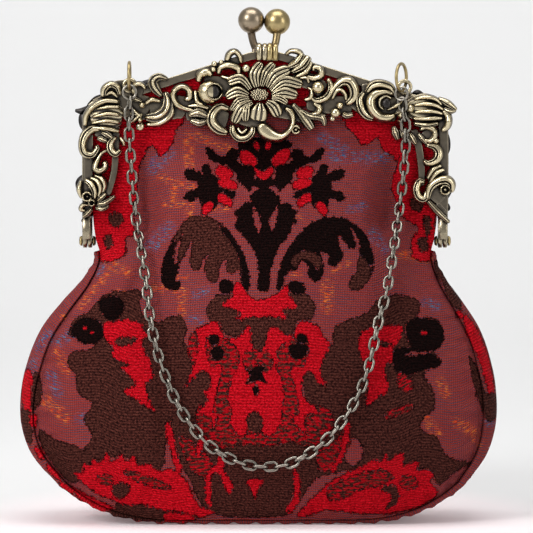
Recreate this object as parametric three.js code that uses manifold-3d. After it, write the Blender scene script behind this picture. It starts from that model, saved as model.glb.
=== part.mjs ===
// A chatelaine bag: a hollow carpet-cloth pouch with a gusset, hung in a hinged pair of cast metal
// frames with a kiss-lock clasp, and a chain whose ends are held by rings on the front frame.
// Millimetres, +Z up. The origin is the middle of the flat base, and the front faces -Y.
import * as THREE from "three";
import { ConvexGeometry } from "three/addons/geometries/ConvexGeometry.js";
import { mergeVertices } from "three/addons/utils/BufferGeometryUtils.js";
import Module from "manifold-3d";

const wasm = await Module();
wasm.setup();

// Frame sizes
const frameHalfWidth = 84;
const hingeHeight = 129;
const shoulderHeight = 191.5;
const peakHeight = 218;
const shoulderRadius = 13;
const peakRadius = 30;
const barFace = 4.2;
const barWall = 1;
const castingGap = 0.3;
const armEndAboveHinge = 11;
const reliefHeight = 5.4;
const pieceGap = 0.3;
const webClearance = 0.8;

// Cloth sizes
const clothThickness = 2;
const seamHalfLeft = 105;
const seamHalfRight = 99;
const waistInset = 6.6;
const lowerCornerHeight = 20;
const gussetHalf = 25;
const gussetBulge = 5.7;
const bellyDepth = 36;
const gussetTopBelowHinge = 4.5;

// Clasp, hinge and chain sizes
const ballRadius = 5.9;
const ballAbovePeak = 12;
const ballSpacing = 12.6;
const stemRadius = 1.7;
const stemFootAcross = 3.4;
const lugThickness = 2;
const lugRadius = 3.2;
const pinRadius = 1.2;
const rivetHeadRadius = 2.3;
const rivetHeadThickness = 1.4;
const eyeletRadius = 2.8;
const eyeletWire = 0.75;
const eyeletAhead = 0.55;
const ringRadius = 6.2;
const ringWire = 0.7;
const endLinkRadius = 3;
const endLinkWire = 0.6;
const chainWidth = 5.2;
const chainClearance = 0.5;
const ringClearance = 0.45;
const collarWidth = 5.2;
const collarWall = 0.9;
const collarReach = 4.6;

// What follows from them
const innerFace = castingGap / 2;
const backWall = innerFace + barWall;
const clothInner = backWall + pieceGap;
const clothOuter = clothInner + clothThickness;
const webBack = clothOuter + webClearance;
const webFront = webBack + barWall;
const armEnd = hingeHeight + armEndAboveHinge;
const frameRise = peakHeight - hingeHeight;
const ballHeight = peakHeight + ballAbovePeak;
const barSlope = Math.atan2(peakHeight - shoulderHeight, frameHalfWidth);
const clothEdgeInset = barWall + pieceGap;
const waistHalf = frameHalfWidth - waistInset;
const baseSeamHeight = clothThickness + pieceGap;
const gussetTop = hingeHeight - gussetTopBelowHinge;
const lugSpan = 2 * lugThickness + pieceGap;

// Facets
const arcSteps = 4;
const panelColumns = 16;
const freeRows = 10;
const channelRows = 4;
const gussetAcross = 5;
const chainSides = 8;
const chainSteps = 52;

// The pouch's side seam seen from the front. up runs from the lower corner to the frame's shoulder,
// out from the waist (0) to the widest seam (1), gap is the gusset's half width as a share of its
// widest, and bulge is how far the gusset stands out as a share of its most.
const sideSections = [
  { up: 0.0, out: 0.5, gap: 0.88, bulge: 0.55 },
  { up: 0.08, out: 0.86, gap: 0.94, bulge: 0.8 },
  { up: 0.15, out: 0.99, gap: 0.98, bulge: 0.95 },
  { up: 0.22, out: 1.0, gap: 1.0, bulge: 1.0 },
  { up: 0.3, out: 0.92, gap: 0.98, bulge: 1.0 },
  { up: 0.4, out: 0.72, gap: 0.88, bulge: 0.85 },
  { up: 0.48, out: 0.42, gap: 0.72, bulge: 0.6 },
  { up: 0.55, out: 0.12, gap: 0.54, bulge: 0.35 },
  { up: 0.62, out: -0.06, gap: 0.34, bulge: 0.12 },
  { up: 0.68, out: 0.0, gap: 0.2, bulge: 0.0 },
  { up: 0.76, out: 0.0, gap: 0.14, bulge: 0.0 },
];

// How far the front stands forward on its middle line: up as a share of the bag's height to its
// peak, and deep as a share of the belly's depth.
const middleSections = [
  { up: 0.01, deep: 0.61 },
  { up: 0.055, deep: 0.8 },
  { up: 0.115, deep: 0.92 },
  { up: 0.2, deep: 1.0 },
  { up: 0.3, deep: 1.0 },
  { up: 0.42, deep: 0.92 },
  { up: 0.51, deep: 0.79 },
  { up: 0.59, deep: 0.65 },
  { up: 0.67, deep: 0.5 },
  { up: 0.75, deep: 0.35 },
  { up: 0.82, deep: 0.24 },
  { up: 1.0, deep: 0.1 },
];

// Folds and dents of the front: across as a share of the widest seam, up and long as shares of the
// height to the peak, wide as a share of the widest seam, turn in degrees from upright, and deep as
// a share of the belly's depth, less than 0 for a dent.
const frontFolds = [
  { across: -0.46, up: 0.2, long: 0.11, wide: 0.045, turn: -3, deep: -0.075 },
  { across: -0.66, up: 0.5, long: 0.1, wide: 0.05, turn: 32, deep: 0.07 },
  { across: -0.56, up: 0.53, long: 0.1, wide: 0.05, turn: 30, deep: -0.05 },
  { across: 0.66, up: 0.5, long: 0.1, wide: 0.05, turn: -28, deep: 0.06 },
  { across: 0.74, up: 0.345, long: 0.035, wide: 0.06, turn: 78, deep: -0.06 },
  { across: 0.52, up: 0.17, long: 0.08, wide: 0.05, turn: -58, deep: 0.045 },
  { across: -0.53, up: 0.04, long: 0.05, wide: 0.035, turn: 8, deep: -0.06 },
  { across: 0.2, up: 0.06, long: 0.05, wide: 0.05, turn: 20, deep: 0.03 },
];
const backFolds = [
  { across: -0.4, up: 0.22, long: 0.11, wide: 0.05, turn: 6, deep: -0.06 },
  { across: 0.62, up: 0.5, long: 0.1, wide: 0.05, turn: -30, deep: 0.06 },
  { across: -0.62, up: 0.5, long: 0.1, wide: 0.05, turn: 30, deep: 0.06 },
  { across: 0.35, up: 0.1, long: 0.07, wide: 0.05, turn: -40, deep: 0.04 },
];

// The lower edge of the cast band, right half, from the middle to the arm's foot: across as a share
// of the frame's half width and up as a share of its rise above the hinge.
const bandEdge = [
  { across: 0.0, up: 0.54 },
  { across: 0.12, up: 0.53 },
  { across: 0.22, up: 0.555 },
  { across: 0.32, up: 0.6 },
  { across: 0.44, up: 0.635 },
  { across: 0.56, up: 0.62 },
  { across: 0.72, up: 0.6 },
  { across: 0.78, up: 0.5 },
  { across: 0.825, up: 0.43 },
  { across: 0.835, up: 0.23 },
  { across: 0.92, up: 0.15 },
];

// The holes through the band, as ellipses: across and up as in bandEdge, wide and tall as half
// sizes in shares of the frame's half width, and turn in degrees.
const piercings = [
  { across: -0.45, up: 0.79, wide: 0.075, tall: 0.026, turn: 18 },
  { across: -0.615, up: 0.69, wide: 0.045, tall: 0.022, turn: 12 },
  { across: -0.08, up: 0.905, wide: 0.045, tall: 0.02, turn: 8 },
  { across: 0.1, up: 0.905, wide: 0.045, tall: 0.02, turn: -10 },
  { across: 0.2, up: 0.72, wide: 0.04, tall: 0.05, turn: 0 },
  { across: 0.095, up: 0.615, wide: 0.045, tall: 0.036, turn: 20 },
  { across: -0.205, up: 0.645, wide: 0.024, tall: 0.034, turn: 0 },
  { across: 0.345, up: 0.69, wide: 0.042, tall: 0.026, turn: 0 },
  { across: 0.42, up: 0.75, wide: 0.024, tall: 0.026, turn: 0 },
  { across: 0.38, up: 0.84, wide: 0.04, tall: 0.016, turn: -18 },
  { across: 0.54, up: 0.775, wide: 0.036, tall: 0.024, turn: -18 },
  { across: -0.905, up: 0.4, wide: 0.036, tall: 0.075, turn: 0 },
  { across: 0.905, up: 0.42, wide: 0.034, tall: 0.07, turn: 0 },
  { across: -0.2, up: 0.885, wide: 0.016, tall: 0.016, turn: 0 },
];

// Cast blades: petals, leaves and stems from a foot to a tip. across and up as in bandEdge, long and
// wide in shares of the frame's half width, turn in degrees from +X, bend as the bow's share of the
// length, and high as a share of the relief's height.
const blades = [
  { across: -0.028, up: 0.79, long: 0.13, wide: 0.032, turn: 92, bend: 0.05, high: 0.75 },
  { across: -0.01, up: 0.785, long: 0.14, wide: 0.026, turn: 68, bend: 0.08, high: 0.7 },
  { across: 0.0, up: 0.78, long: 0.17, wide: 0.032, turn: 44, bend: 0.1, high: 0.8 },
  { across: 0.005, up: 0.77, long: 0.21, wide: 0.034, turn: 15, bend: 0.14, high: 0.85 },
  { across: 0.005, up: 0.762, long: 0.17, wide: 0.03, turn: -3, bend: 0.08, high: 0.7 },
  { across: 0.0, up: 0.75, long: 0.13, wide: 0.026, turn: -28, bend: 0.1, high: 0.6 },
  { across: -0.015, up: 0.745, long: 0.13, wide: 0.036, turn: -55, bend: 0.06, high: 0.8 },
  { across: -0.028, up: 0.74, long: 0.15, wide: 0.042, turn: -88, bend: 0.0, high: 0.9 },
  { across: -0.04, up: 0.745, long: 0.17, wide: 0.032, turn: -112, bend: -0.06, high: 0.75 },
  { across: -0.05, up: 0.75, long: 0.2, wide: 0.032, turn: -134, bend: -0.08, high: 0.8 },
  { across: -0.055, up: 0.755, long: 0.16, wide: 0.026, turn: -156, bend: -0.08, high: 0.6 },
  { across: -0.06, up: 0.765, long: 0.15, wide: 0.032, turn: 186, bend: -0.05, high: 0.75 },
  { across: -0.055, up: 0.78, long: 0.16, wide: 0.034, turn: 160, bend: -0.16, high: 0.85 },
  { across: -0.045, up: 0.785, long: 0.12, wide: 0.026, turn: 128, bend: -0.08, high: 0.6 },
  { across: 0.13, up: 0.86, long: 0.17, wide: 0.042, turn: 42, bend: 0.2, high: 0.8 },
  { across: 0.17, up: 0.71, long: 0.2, wide: 0.024, turn: -32, bend: 0.06, high: 0.6 },
  { across: -0.43, up: 0.645, long: 0.16, wide: 0.05, turn: 2, bend: 0.0, high: 0.6 },
  { across: -0.65, up: 0.625, long: 0.2, wide: 0.036, turn: 22, bend: -0.2, high: 0.7 },
  { across: -0.49, up: 0.7, long: 0.15, wide: 0.03, turn: 118, bend: 0.14, high: 0.65 },
  { across: -0.94, up: 0.24, long: 0.12, wide: 0.03, turn: 12, bend: -0.12, high: 0.5 },
  { across: -0.94, up: 0.23, long: 0.1, wide: 0.026, turn: -24, bend: 0.1, high: 0.45 },
  { across: -0.96, up: 0.23, long: 0.09, wide: 0.03, turn: -118, bend: 0.1, high: 0.5 },
  { across: 0.93, up: 0.72, long: 0.12, wide: 0.022, turn: -28, bend: 0.1, high: 0.5 },
  { across: 0.97, up: 0.16, long: 0.11, wide: 0.024, turn: 138, bend: 0.0, high: 0.2 },
];

// Cast scrolls: bands that wind about a middle from one angle to another. across, up and high as
// above, from and to in degrees, start and end the radii, wide and tip the half widths of the band at
// its two ends, all in shares of the frame's half width.
const scrolls = [
  { across: 0.06, up: 0.615, from: 60, to: -190, start: 0.088, end: 0.088, wide: 0.014, tip: 0.034, high: 0.75 },
  { across: -0.125, up: 0.575, from: 150, to: 400, start: 0.05, end: 0.05, wide: 0.018, tip: 0.018, high: 0.65 },
  { across: -0.205, up: 0.635, from: 60, to: 300, start: 0.058, end: 0.062, wide: 0.016, tip: 0.024, high: 0.7 },
  { across: -0.2, up: 0.885, from: -20, to: 200, start: 0.042, end: 0.042, wide: 0.018, tip: 0.018, high: 0.65 },
  { across: -0.168, up: 0.955, from: -50, to: 230, start: 0.026, end: 0.026, wide: 0.012, tip: 0.014, high: 0.5 },
  { across: 0.275, up: 0.87, from: 140, to: -120, start: 0.026, end: 0.032, wide: 0.014, tip: 0.012, high: 0.6 },
  { across: 0.3, up: 0.79, from: 70, to: -130, start: 0.052, end: 0.046, wide: 0.018, tip: 0.012, high: 0.6 },
  { across: 0.42, up: 0.765, from: 190, to: -80, start: 0.05, end: 0.056, wide: 0.018, tip: 0.024, high: 0.75 },
  { across: 0.28, up: 0.685, from: 80, to: -110, start: 0.03, end: 0.034, wide: 0.012, tip: 0.016, high: 0.55 },
  { across: -0.455, up: 0.745, from: 420, to: 150, start: 0.014, end: 0.05, wide: 0.014, tip: 0.012, high: 0.6 },
  { across: 0.63, up: 0.7, from: 60, to: 330, start: 0.072, end: 0.074, wide: 0.022, tip: 0.03, high: 0.8 },
  { across: 0.6, up: 0.73, from: 20, to: 190, start: 0.1, end: 0.09, wide: 0.014, tip: 0.018, high: 0.6 },
  { across: -0.84, up: 0.74, from: 10, to: 190, start: 0.05, end: 0.055, wide: 0.018, tip: 0.02, high: 0.6 },
  { across: -0.955, up: 0.52, from: 100, to: 370, start: 0.055, end: 0.055, wide: 0.022, tip: 0.018, high: 0.7 },
  { across: -0.825, up: 0.52, from: 120, to: 340, start: 0.03, end: 0.034, wide: 0.016, tip: 0.018, high: 0.55 },
  { across: -0.9, up: 0.38, from: 110, to: 400, start: 0.05, end: 0.022, wide: 0.012, tip: 0.014, high: 0.5 },
  { across: 0.76, up: 0.55, from: 90, to: 330, start: 0.034, end: 0.034, wide: 0.018, tip: 0.018, high: 0.3 },
  { across: 0.89, up: 0.55, from: 150, to: -120, start: 0.036, end: 0.034, wide: 0.016, tip: 0.016, high: 0.35 },
  { across: 0.915, up: 0.455, from: 60, to: -110, start: 0.034, end: 0.04, wide: 0.014, tip: 0.012, high: 0.45 },
  { across: 0.945, up: 0.24, from: 205, to: -10, start: 0.072, end: 0.064, wide: 0.018, tip: 0.028, high: 0.75 },
  { across: 0.84, up: 0.27, from: 20, to: 300, start: 0.028, end: 0.028, wide: 0.014, tip: 0.012, high: 0.55 },
];

// Cast domes: buds, berries and flower hearts, with half sizes wide and tall, otherwise as above.
const domes = [
  { across: -0.03, up: 0.765, wide: 0.044, tall: 0.036, turn: 0, high: 1.0 },
  { across: -0.3, up: 0.78, wide: 0.066, tall: 0.068, turn: 0, high: 0.95 },
  { across: -0.335, up: 0.84, wide: 0.04, tall: 0.04, turn: 0, high: 0.6 },
  { across: -0.1, up: 0.885, wide: 0.024, tall: 0.024, turn: 0, high: 0.55 },
  { across: -0.27, up: 0.915, wide: 0.02, tall: 0.02, turn: 0, high: 0.5 },
  { across: 0.292, up: 0.793, wide: 0.028, tall: 0.028, turn: 0, high: 0.7 },
  { across: -0.7, up: 0.655, wide: 0.06, tall: 0.05, turn: 20, high: 0.4 },
  { across: -0.885, up: 0.655, wide: 0.12, tall: 0.09, turn: 0, high: 0.95 },
  { across: 0.915, up: 0.69, wide: 0.12, tall: 0.09, turn: -14, high: 0.95 },
  { across: -0.945, up: 0.275, wide: 0.066, tall: 0.07, turn: 0, high: 0.9 },
];

// The chain's route seen from the front, between its two end links: across as a share of the frame's
// half width, and up as a share of the height of the end links' lower ends. Chosen points.
const chainRoute = [
  [-0.743, 0.947], [-0.736, 0.883], [-0.725, 0.804], [-0.706, 0.714], [-0.681, 0.644],
  [-0.654, 0.565], [-0.626, 0.466], [-0.576, 0.377], [-0.494, 0.286], [-0.389, 0.215],
  [-0.263, 0.162], [-0.11, 0.132], [0.017, 0.126], [0.149, 0.136], [0.302, 0.177], [0.423, 0.235],
  [0.512, 0.299], [0.576, 0.376], [0.62, 0.467], [0.669, 0.55], [0.708, 0.653], [0.736, 0.744],
  [0.757, 0.823], [0.769, 0.903], [0.764, 0.955],
];
const eyeletAcross = { left: -62 / 84, right: 64 / 84 };
const ringTurn = { left: 0, right: 24 };

// Solids

function toSolid(geometry) {
  const bare = geometry.index ? geometry.toNonIndexed() : geometry.clone();
  for (const name of Object.keys(bare.attributes)) if (name !== "position") bare.deleteAttribute(name);
  const merged = mergeVertices(bare, 1e-4);
  return new wasm.Manifold(
    new wasm.Mesh({
      numProp: 3,
      vertProperties: new Float32Array(merged.attributes.position.array),
      triVerts: new Uint32Array(merged.index.array),
    }),
  );
}

function toGeometry(solid) {
  const mesh = solid.getMesh();
  const geometry = new THREE.BufferGeometry();
  geometry.setAttribute("position", new THREE.BufferAttribute(new Float32Array(mesh.vertProperties), 3));
  geometry.setIndex(new THREE.BufferAttribute(new Uint32Array(mesh.triVerts), 1));
  return geometry;
}

const joined = (solids) => solids.reduce((all, next) => all.add(next));

function pointMesh(points) {
  const geometry = new THREE.BufferGeometry();
  geometry.setAttribute("position", new THREE.Float32BufferAttribute(points.flatMap((p) => p.toArray()), 3));
  return geometry;
}

// A closed body through sections of equal point counts, capped at both ends, or closed on itself.
function loft(sections, closed = false) {
  const size = sections[0].length;
  const points = sections.flat();
  const faces = [];
  const steps = closed ? sections.length : sections.length - 1;
  for (let i = 0; i < steps; i++) {
    const here = i * size;
    const next = ((i + 1) % sections.length) * size;
    for (let j = 0; j < size; j++) {
      const k = (j + 1) % size;
      faces.push(here + j, next + j, next + k, here + j, next + k, here + k);
    }
  }
  if (!closed) {
    const last = (sections.length - 1) * size;
    for (let j = 1; j < size - 1; j++) faces.push(0, j, j + 1, last, last + j + 1, last + j);
  }
  const geometry = pointMesh(points);
  geometry.setIndex(faces);
  return geometry;
}

// A loft whose sections may wind either way: turned right side out.
function loftSolid(sections) {
  const solid = toSolid(loft(sections));
  return solid.volume() > 0 ? solid : toSolid(loft(sections.map((s) => [...s].reverse())));
}

// A plate in the XZ plane, whose front and back are distances ahead of the bag's middle plane.
function plate(outline, back, front) {
  const shape = new THREE.Shape(outline.map(([x, z]) => new THREE.Vector2(x, z)));
  const geometry = new THREE.ExtrudeGeometry(shape, { depth: front - back, bevelEnabled: false });
  geometry.rotateX(Math.PI / 2);
  geometry.translate(0, -back, 0);
  return toSolid(geometry);
}

function torus(radius, wire, sides, wireSides) {
  return new THREE.TorusGeometry(radius, wire, wireSides, sides);
}

// Curves

function interpolate(rows, key, value, column) {
  if (value <= rows[0][key]) return rows[0][column];
  for (let i = 1; i < rows.length; i++) {
    if (value > rows[i][key]) continue;
    const before = rows[Math.max(i - 2, 0)];
    const a = rows[i - 1];
    const b = rows[i];
    const after = rows[Math.min(i + 1, rows.length - 1)];
    const span = b[key] - a[key];
    const slopeA = ((b[column] - before[column]) / (b[key] - before[key])) * span;
    const slopeB = ((after[column] - a[column]) / (after[key] - a[key])) * span;
    const t = (value - a[key]) / span;
    const t2 = t * t;
    const t3 = t2 * t;
    const starts = (2 * t3 - 3 * t2 + 1) * a[column] + (t3 - 2 * t2 + t) * slopeA;
    return starts + (3 * t2 - 2 * t3) * b[column] + (t3 - t2) * slopeB;
  }
  return rows[rows.length - 1][column];
}

function smooth(value) {
  const t = Math.min(1, Math.max(0, value));
  return t * t * (3 - 2 * t);
}

const mix = (a, b, share) => a + (b - a) * share;

// A path through corner points whose inner corners are rounded to the given radii.
function roundedPath(corners, radii) {
  const path = [corners[0]];
  for (let i = 1; i < corners.length - 1; i++) {
    const here = new THREE.Vector2(...corners[i]);
    const back = new THREE.Vector2(...corners[i - 1]).sub(here).normalize();
    const ahead = new THREE.Vector2(...corners[i + 1]).sub(here).normalize();
    const half = Math.acos(THREE.MathUtils.clamp(back.dot(ahead), -1, 1)) / 2;
    const reach = radii[i - 1] / Math.tan(half);
    const middle = back.clone().add(ahead).setLength(radii[i - 1] / Math.sin(half)).add(here);
    const first = back.clone().multiplyScalar(reach).add(here).sub(middle);
    const last = ahead.clone().multiplyScalar(reach).add(here).sub(middle);
    const turn = Math.atan2(first.cross(last), first.dot(last));
    for (let step = 0; step <= arcSteps; step++) {
      const p = first.clone().rotateAround(new THREE.Vector2(), (turn * step) / arcSteps).add(middle);
      path.push([p.x, p.y]);
    }
  }
  path.push(corners[corners.length - 1]);
  return path;
}

// The frame's arch, moved inwards by inset, from the left arm's foot to the right arm's foot.
function archLine(inset, foot) {
  const half = frameHalfWidth - inset;
  const peak = peakHeight - inset / Math.cos(barSlope);
  const shoulder = peak - half * Math.tan(barSlope);
  const corners = [[-half, foot], [-half, shoulder], [0, peak], [half, shoulder], [half, foot]];
  return roundedPath(corners, [shoulderRadius - inset, peakRadius - inset, shoulderRadius - inset]);
}

function archStrip(inset, width, foot) {
  return [...archLine(inset, foot), ...archLine(inset + width, foot).reverse()];
}

// Points at equal distances along a path.
function spread(path, count) {
  const reach = [0];
  for (let i = 1; i < path.length; i++) {
    reach.push(reach[i - 1] + Math.hypot(path[i][0] - path[i - 1][0], path[i][1] - path[i - 1][1]));
  }
  const total = reach[reach.length - 1];
  return Array.from({ length: count + 1 }, (_, n) => {
    const wanted = (total * n) / count;
    let i = 1;
    while (i < path.length - 1 && reach[i] < wanted) i++;
    const t = (wanted - reach[i - 1]) / (reach[i] - reach[i - 1]);
    return [mix(path[i - 1][0], path[i][0], t), mix(path[i - 1][1], path[i][1], t)];
  });
}

const acrossFrame = (share) => share * frameHalfWidth;
const upFrame = (share) => hingeHeight + share * frameRise;

// The pouch

const clothTopLine = archLine(clothEdgeInset, armEnd);
const clothTopCorner = clothTopLine[1];
const clothTopEdge = spread(clothTopLine.slice(1, -1), panelColumns);
const sideHeight = (up) => mix(lowerCornerHeight, clothTopCorner[1], up);
const upOfHeight = (height) => (height - lowerCornerHeight) / (clothTopCorner[1] - lowerCornerHeight);

// The rows of a panel: up the free side to the gusset's top, to the mouth of the arm's channel, and
// up the channel to the shoulder.
const gussetTopUp = upOfHeight(gussetTop);
const channelUp = upOfHeight(armEnd + 5 * pieceGap);
const panelUps = [
  ...Array.from({ length: freeRows + 1 }, (_, i) => (gussetTopUp * i) / freeRows),
  ...Array.from({ length: channelRows + 1 }, (_, i) => mix(channelUp, 1, i / channelRows)),
];

// Half the pouch's width at its seam, on the side that sign names. It passes inside the hinge's lugs
// before it enters the arm's channel.
function sideHalf(up, sign) {
  const widest = sign < 0 ? seamHalfLeft : seamHalfRight;
  const free = waistHalf + (widest - waistHalf) * interpolate(sideSections, "up", up, "out");
  const insideLugs = frameHalfWidth - lugSpan - 2 * pieceGap;
  const beside = mix(free, insideLugs, smooth((up - gussetTopUp) / (channelUp - gussetTopUp)));
  return mix(beside, -clothTopCorner[0], smooth(((up - channelUp) * channelRows) / (1 - channelUp)));
}

function sideGap(up) {
  const channel = smooth((up - gussetTopUp) / (channelUp - gussetTopUp));
  return mix(gussetHalf * interpolate(sideSections, "up", up, "gap"), clothOuter, channel);
}

const baseFlatShare = 0.35;
function baseEdge(turn) {
  const x = turn < 0 ? turn * sideHalf(0, -1) : turn * sideHalf(0, 1);
  const lift = Math.max(0, (Math.abs(turn) - baseFlatShare) / (1 - baseFlatShare));
  return [x, baseSeamHeight + (lowerCornerHeight - baseSeamHeight) * lift ** 3];
}

// A point of the panel seen from the front, from its four edges: s from left to right, v upwards.
function panelPlace(column, v) {
  const s = column / panelColumns;
  const turn = 2 * s - 1;
  const base = baseEdge(turn);
  const top = clothTopEdge[column];
  const left = [-sideHalf(v, -1), sideHeight(v)];
  const right = [sideHalf(v, 1), sideHeight(v)];
  const corners = [baseEdge(-1), baseEdge(1), clothTopEdge[0], clothTopEdge[panelColumns]];
  return [0, 1].map((axis) => {
    const edges = mix(base[axis], top[axis], v) + mix(left[axis], right[axis], s);
    const [low, high] = [0, 2].map((first) => mix(corners[first][axis], corners[first + 1][axis], s));
    return edges - mix(low, high, v);
  });
}

function bandFloor(x) {
  const across = Math.abs(x) / frameHalfWidth;
  for (let i = 1; i < bandEdge.length; i++) {
    if (across > bandEdge[i].across) continue;
    const t = (across - bandEdge[i - 1].across) / (bandEdge[i].across - bandEdge[i - 1].across);
    return upFrame(mix(bandEdge[i - 1].up, bandEdge[i].up, t));
  }
  return upFrame(bandEdge[bandEdge.length - 1].up);
}

// How free the cloth is to stand forward of the channel: 0 behind the cast band and 1 well below it.
const clearStart = 10;
const clearReach = 16;
function freeOfBand(x, z) {
  const below = smooth((bandFloor(x) - z - clearStart) / clearReach);
  const armInner = acrossFrame(bandEdge[bandEdge.length - 3].across);
  const beside = smooth((armInner - Math.abs(x) - clearStart) / clearReach);
  const underArm = smooth((armEnd - z) / (armEndAboveHinge + gussetTopBelowHinge));
  return Math.min(below, mix(beside, 1, underArm));
}

const crownPower = 2.4;
const baseBlend = 0.16;
function panelDepth(column, v, folds) {
  const [x, z] = panelPlace(column, v);
  const turn = Math.abs((2 * column) / panelColumns - 1);
  const edge = sideGap(v);
  const middle = bellyDepth * interpolate(middleSections, "up", z / peakHeight, "deep");
  const crown = (1 - turn ** crownPower) * smooth(v / baseBlend);
  const soft = crown > 0 ? Math.min(1, 4 * crown) : 0;
  let deep = edge + Math.max(0, middle - edge) * crown;
  for (const fold of folds) {
    const dx = x - fold.across * seamHalfRight;
    const dz = z - fold.up * peakHeight;
    const turned = THREE.MathUtils.degToRad(fold.turn);
    const along = (dx * Math.sin(turned) + dz * Math.cos(turned)) / (fold.long * peakHeight);
    const aside = (dx * Math.cos(turned) - dz * Math.sin(turned)) / (fold.wide * seamHalfRight);
    deep += soft * fold.deep * bellyDepth * Math.exp(-along * along - aside * aside);
  }
  return turn === 1 ? edge : mix(clothOuter, deep, freeOfBand(x, z));
}

// A cloth wall over a grid of outer points: the inner side lies one thickness behind it.
function clothWall(grid, inside) {
  const rows = grid.length;
  const columns = grid[0].length;
  const at = (i, j) => grid[THREE.MathUtils.clamp(i, 0, rows - 1)][THREE.MathUtils.clamp(j, 0, columns - 1)];
  const inner = grid.map((row, i) =>
    row.map((point, j) => {
      const along = at(i + 1, j).clone().sub(at(i - 1, j));
      const aside = at(i, j + 1).clone().sub(at(i, j - 1));
      const normal = along.cross(aside).normalize();
      if (normal.dot(inside) < 0) normal.negate();
      return point.clone().addScaledVector(normal, clothThickness);
    }),
  );
  return wallBetween(grid, inner);
}

function wallBetween(outer, inner) {
  const rows = outer.length;
  const columns = outer[0].length;
  const points = [...outer.flat(), ...inner.flat()];
  const faces = [];
  const id = (side, i, j) => side * rows * columns + i * columns + j;
  const quad = (a, b, c, d) => faces.push(a, b, c, a, c, d);
  for (let i = 0; i < rows - 1; i++) {
    for (let j = 0; j < columns - 1; j++) {
      quad(id(0, i, j), id(0, i, j + 1), id(0, i + 1, j + 1), id(0, i + 1, j));
      quad(id(1, i, j), id(1, i + 1, j), id(1, i + 1, j + 1), id(1, i, j + 1));
    }
  }
  for (let i = 0; i < rows - 1; i++) {
    quad(id(0, i + 1, 0), id(1, i + 1, 0), id(1, i, 0), id(0, i, 0));
    const [near, far] = [id(0, i, columns - 1), id(1, i, columns - 1)];
    quad(near, far, far + columns, near + columns);
  }
  for (let j = 0; j < columns - 1; j++) {
    quad(id(0, 0, j), id(1, 0, j), id(1, 0, j + 1), id(0, 0, j + 1));
    quad(id(0, rows - 1, j + 1), id(1, rows - 1, j + 1), id(1, rows - 1, j), id(0, rows - 1, j));
  }
  const geometry = pointMesh(points);
  geometry.setIndex(faces);
  const solid = toSolid(geometry);
  if (solid.volume() > 0) return geometry;
  for (let i = 0; i < faces.length; i += 3) [faces[i + 1], faces[i + 2]] = [faces[i + 2], faces[i + 1]];
  geometry.setIndex(faces);
  return geometry;
}

// The front panel, or with facing 1 the back one.
function panel(facing, folds) {
  const grid = panelUps.map((up) =>
    Array.from({ length: panelColumns + 1 }, (_, column) => {
      const [x, z] = panelPlace(column, up);
      return new THREE.Vector3(x, facing * panelDepth(column, up, folds), z);
    }),
  );
  return clothWall(grid, new THREE.Vector3(0, -facing, 0));
}

// The seam from the left side's top, round the base, to the right side's top.
function seamStations() {
  const stations = [];
  const side = (sign, row) => {
    const up = panelUps[row];
    const bulge = interpolate(sideSections, "up", up, "bulge");
    stations.push({ x: sign * sideHalf(up, sign), z: sideHeight(up), gap: sideGap(up), bulge });
  };
  for (let row = freeRows; row > 0; row--) side(-1, row);
  for (let column = 0; column <= panelColumns; column++) {
    const turn = (2 * column) / panelColumns - 1;
    const [x, z] = baseEdge(turn);
    const lift = Math.max(0, (Math.abs(turn) - baseFlatShare) / (1 - baseFlatShare));
    stations.push({ x, z, gap: sideGap(0), bulge: sideSections[0].bulge * lift ** 2 });
  }
  for (let row = 1; row <= freeRows; row++) side(1, row);
  return stations;
}

function gusset() {
  const stations = seamStations();
  const outer = [];
  const inner = [];
  stations.forEach((station, i) => {
    const before = stations[Math.max(i - 1, 0)];
    const after = stations[Math.min(i + 1, stations.length - 1)];
    const normal = new THREE.Vector2(after.z - before.z, before.x - after.x).normalize();
    const row = (offset) =>
      Array.from({ length: gussetAcross + 1 }, (_, j) => {
        const w = (2 * j) / gussetAcross - 1;
        const out = offset + gussetBulge * station.bulge * (1 - w * w);
        return new THREE.Vector3(station.x + normal.x * out, w * station.gap, station.z + normal.y * out);
      });
    outer.push(row(pieceGap + clothThickness).map((p) => p.setZ(Math.max(0, p.z))));
    inner.push(row(pieceGap));
  });
  return wallBetween(outer, inner);
}

// The cast frame

const reliefSink = 0.3;
const forward = (height) => -(webFront - reliefSink) - height * reliefHeight;

function bladeSolid({ across, up, long, wide, turn, bend, high }) {
  const foot = new THREE.Vector2(acrossFrame(across), upFrame(up));
  const direction = new THREE.Vector2(1, 0).rotateAround(new THREE.Vector2(), THREE.MathUtils.degToRad(turn));
  const side = new THREE.Vector2(-direction.y, direction.x);
  const sections = [0, 0.5, 1].map((share) => {
    const middle = direction.clone().multiplyScalar(long * frameHalfWidth * share);
    middle.addScaledVector(side, bend * long * frameHalfWidth * Math.sin(Math.PI * share)).add(foot);
    const half = wide * frameHalfWidth * (0.45 + 0.55 * Math.sin(Math.PI * Math.min(1, 0.15 + share * 0.75)));
    const left = middle.clone().addScaledVector(side, half);
    const right = middle.clone().addScaledVector(side, -half);
    const rise = high * (0.75 + 0.25 * Math.sin(Math.PI * share));
    return [
      new THREE.Vector3(left.x, forward(0), left.y),
      new THREE.Vector3(middle.x, forward(rise), middle.y),
      new THREE.Vector3(right.x, forward(0), right.y),
    ];
  });
  return loftSolid(sections);
}

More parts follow.
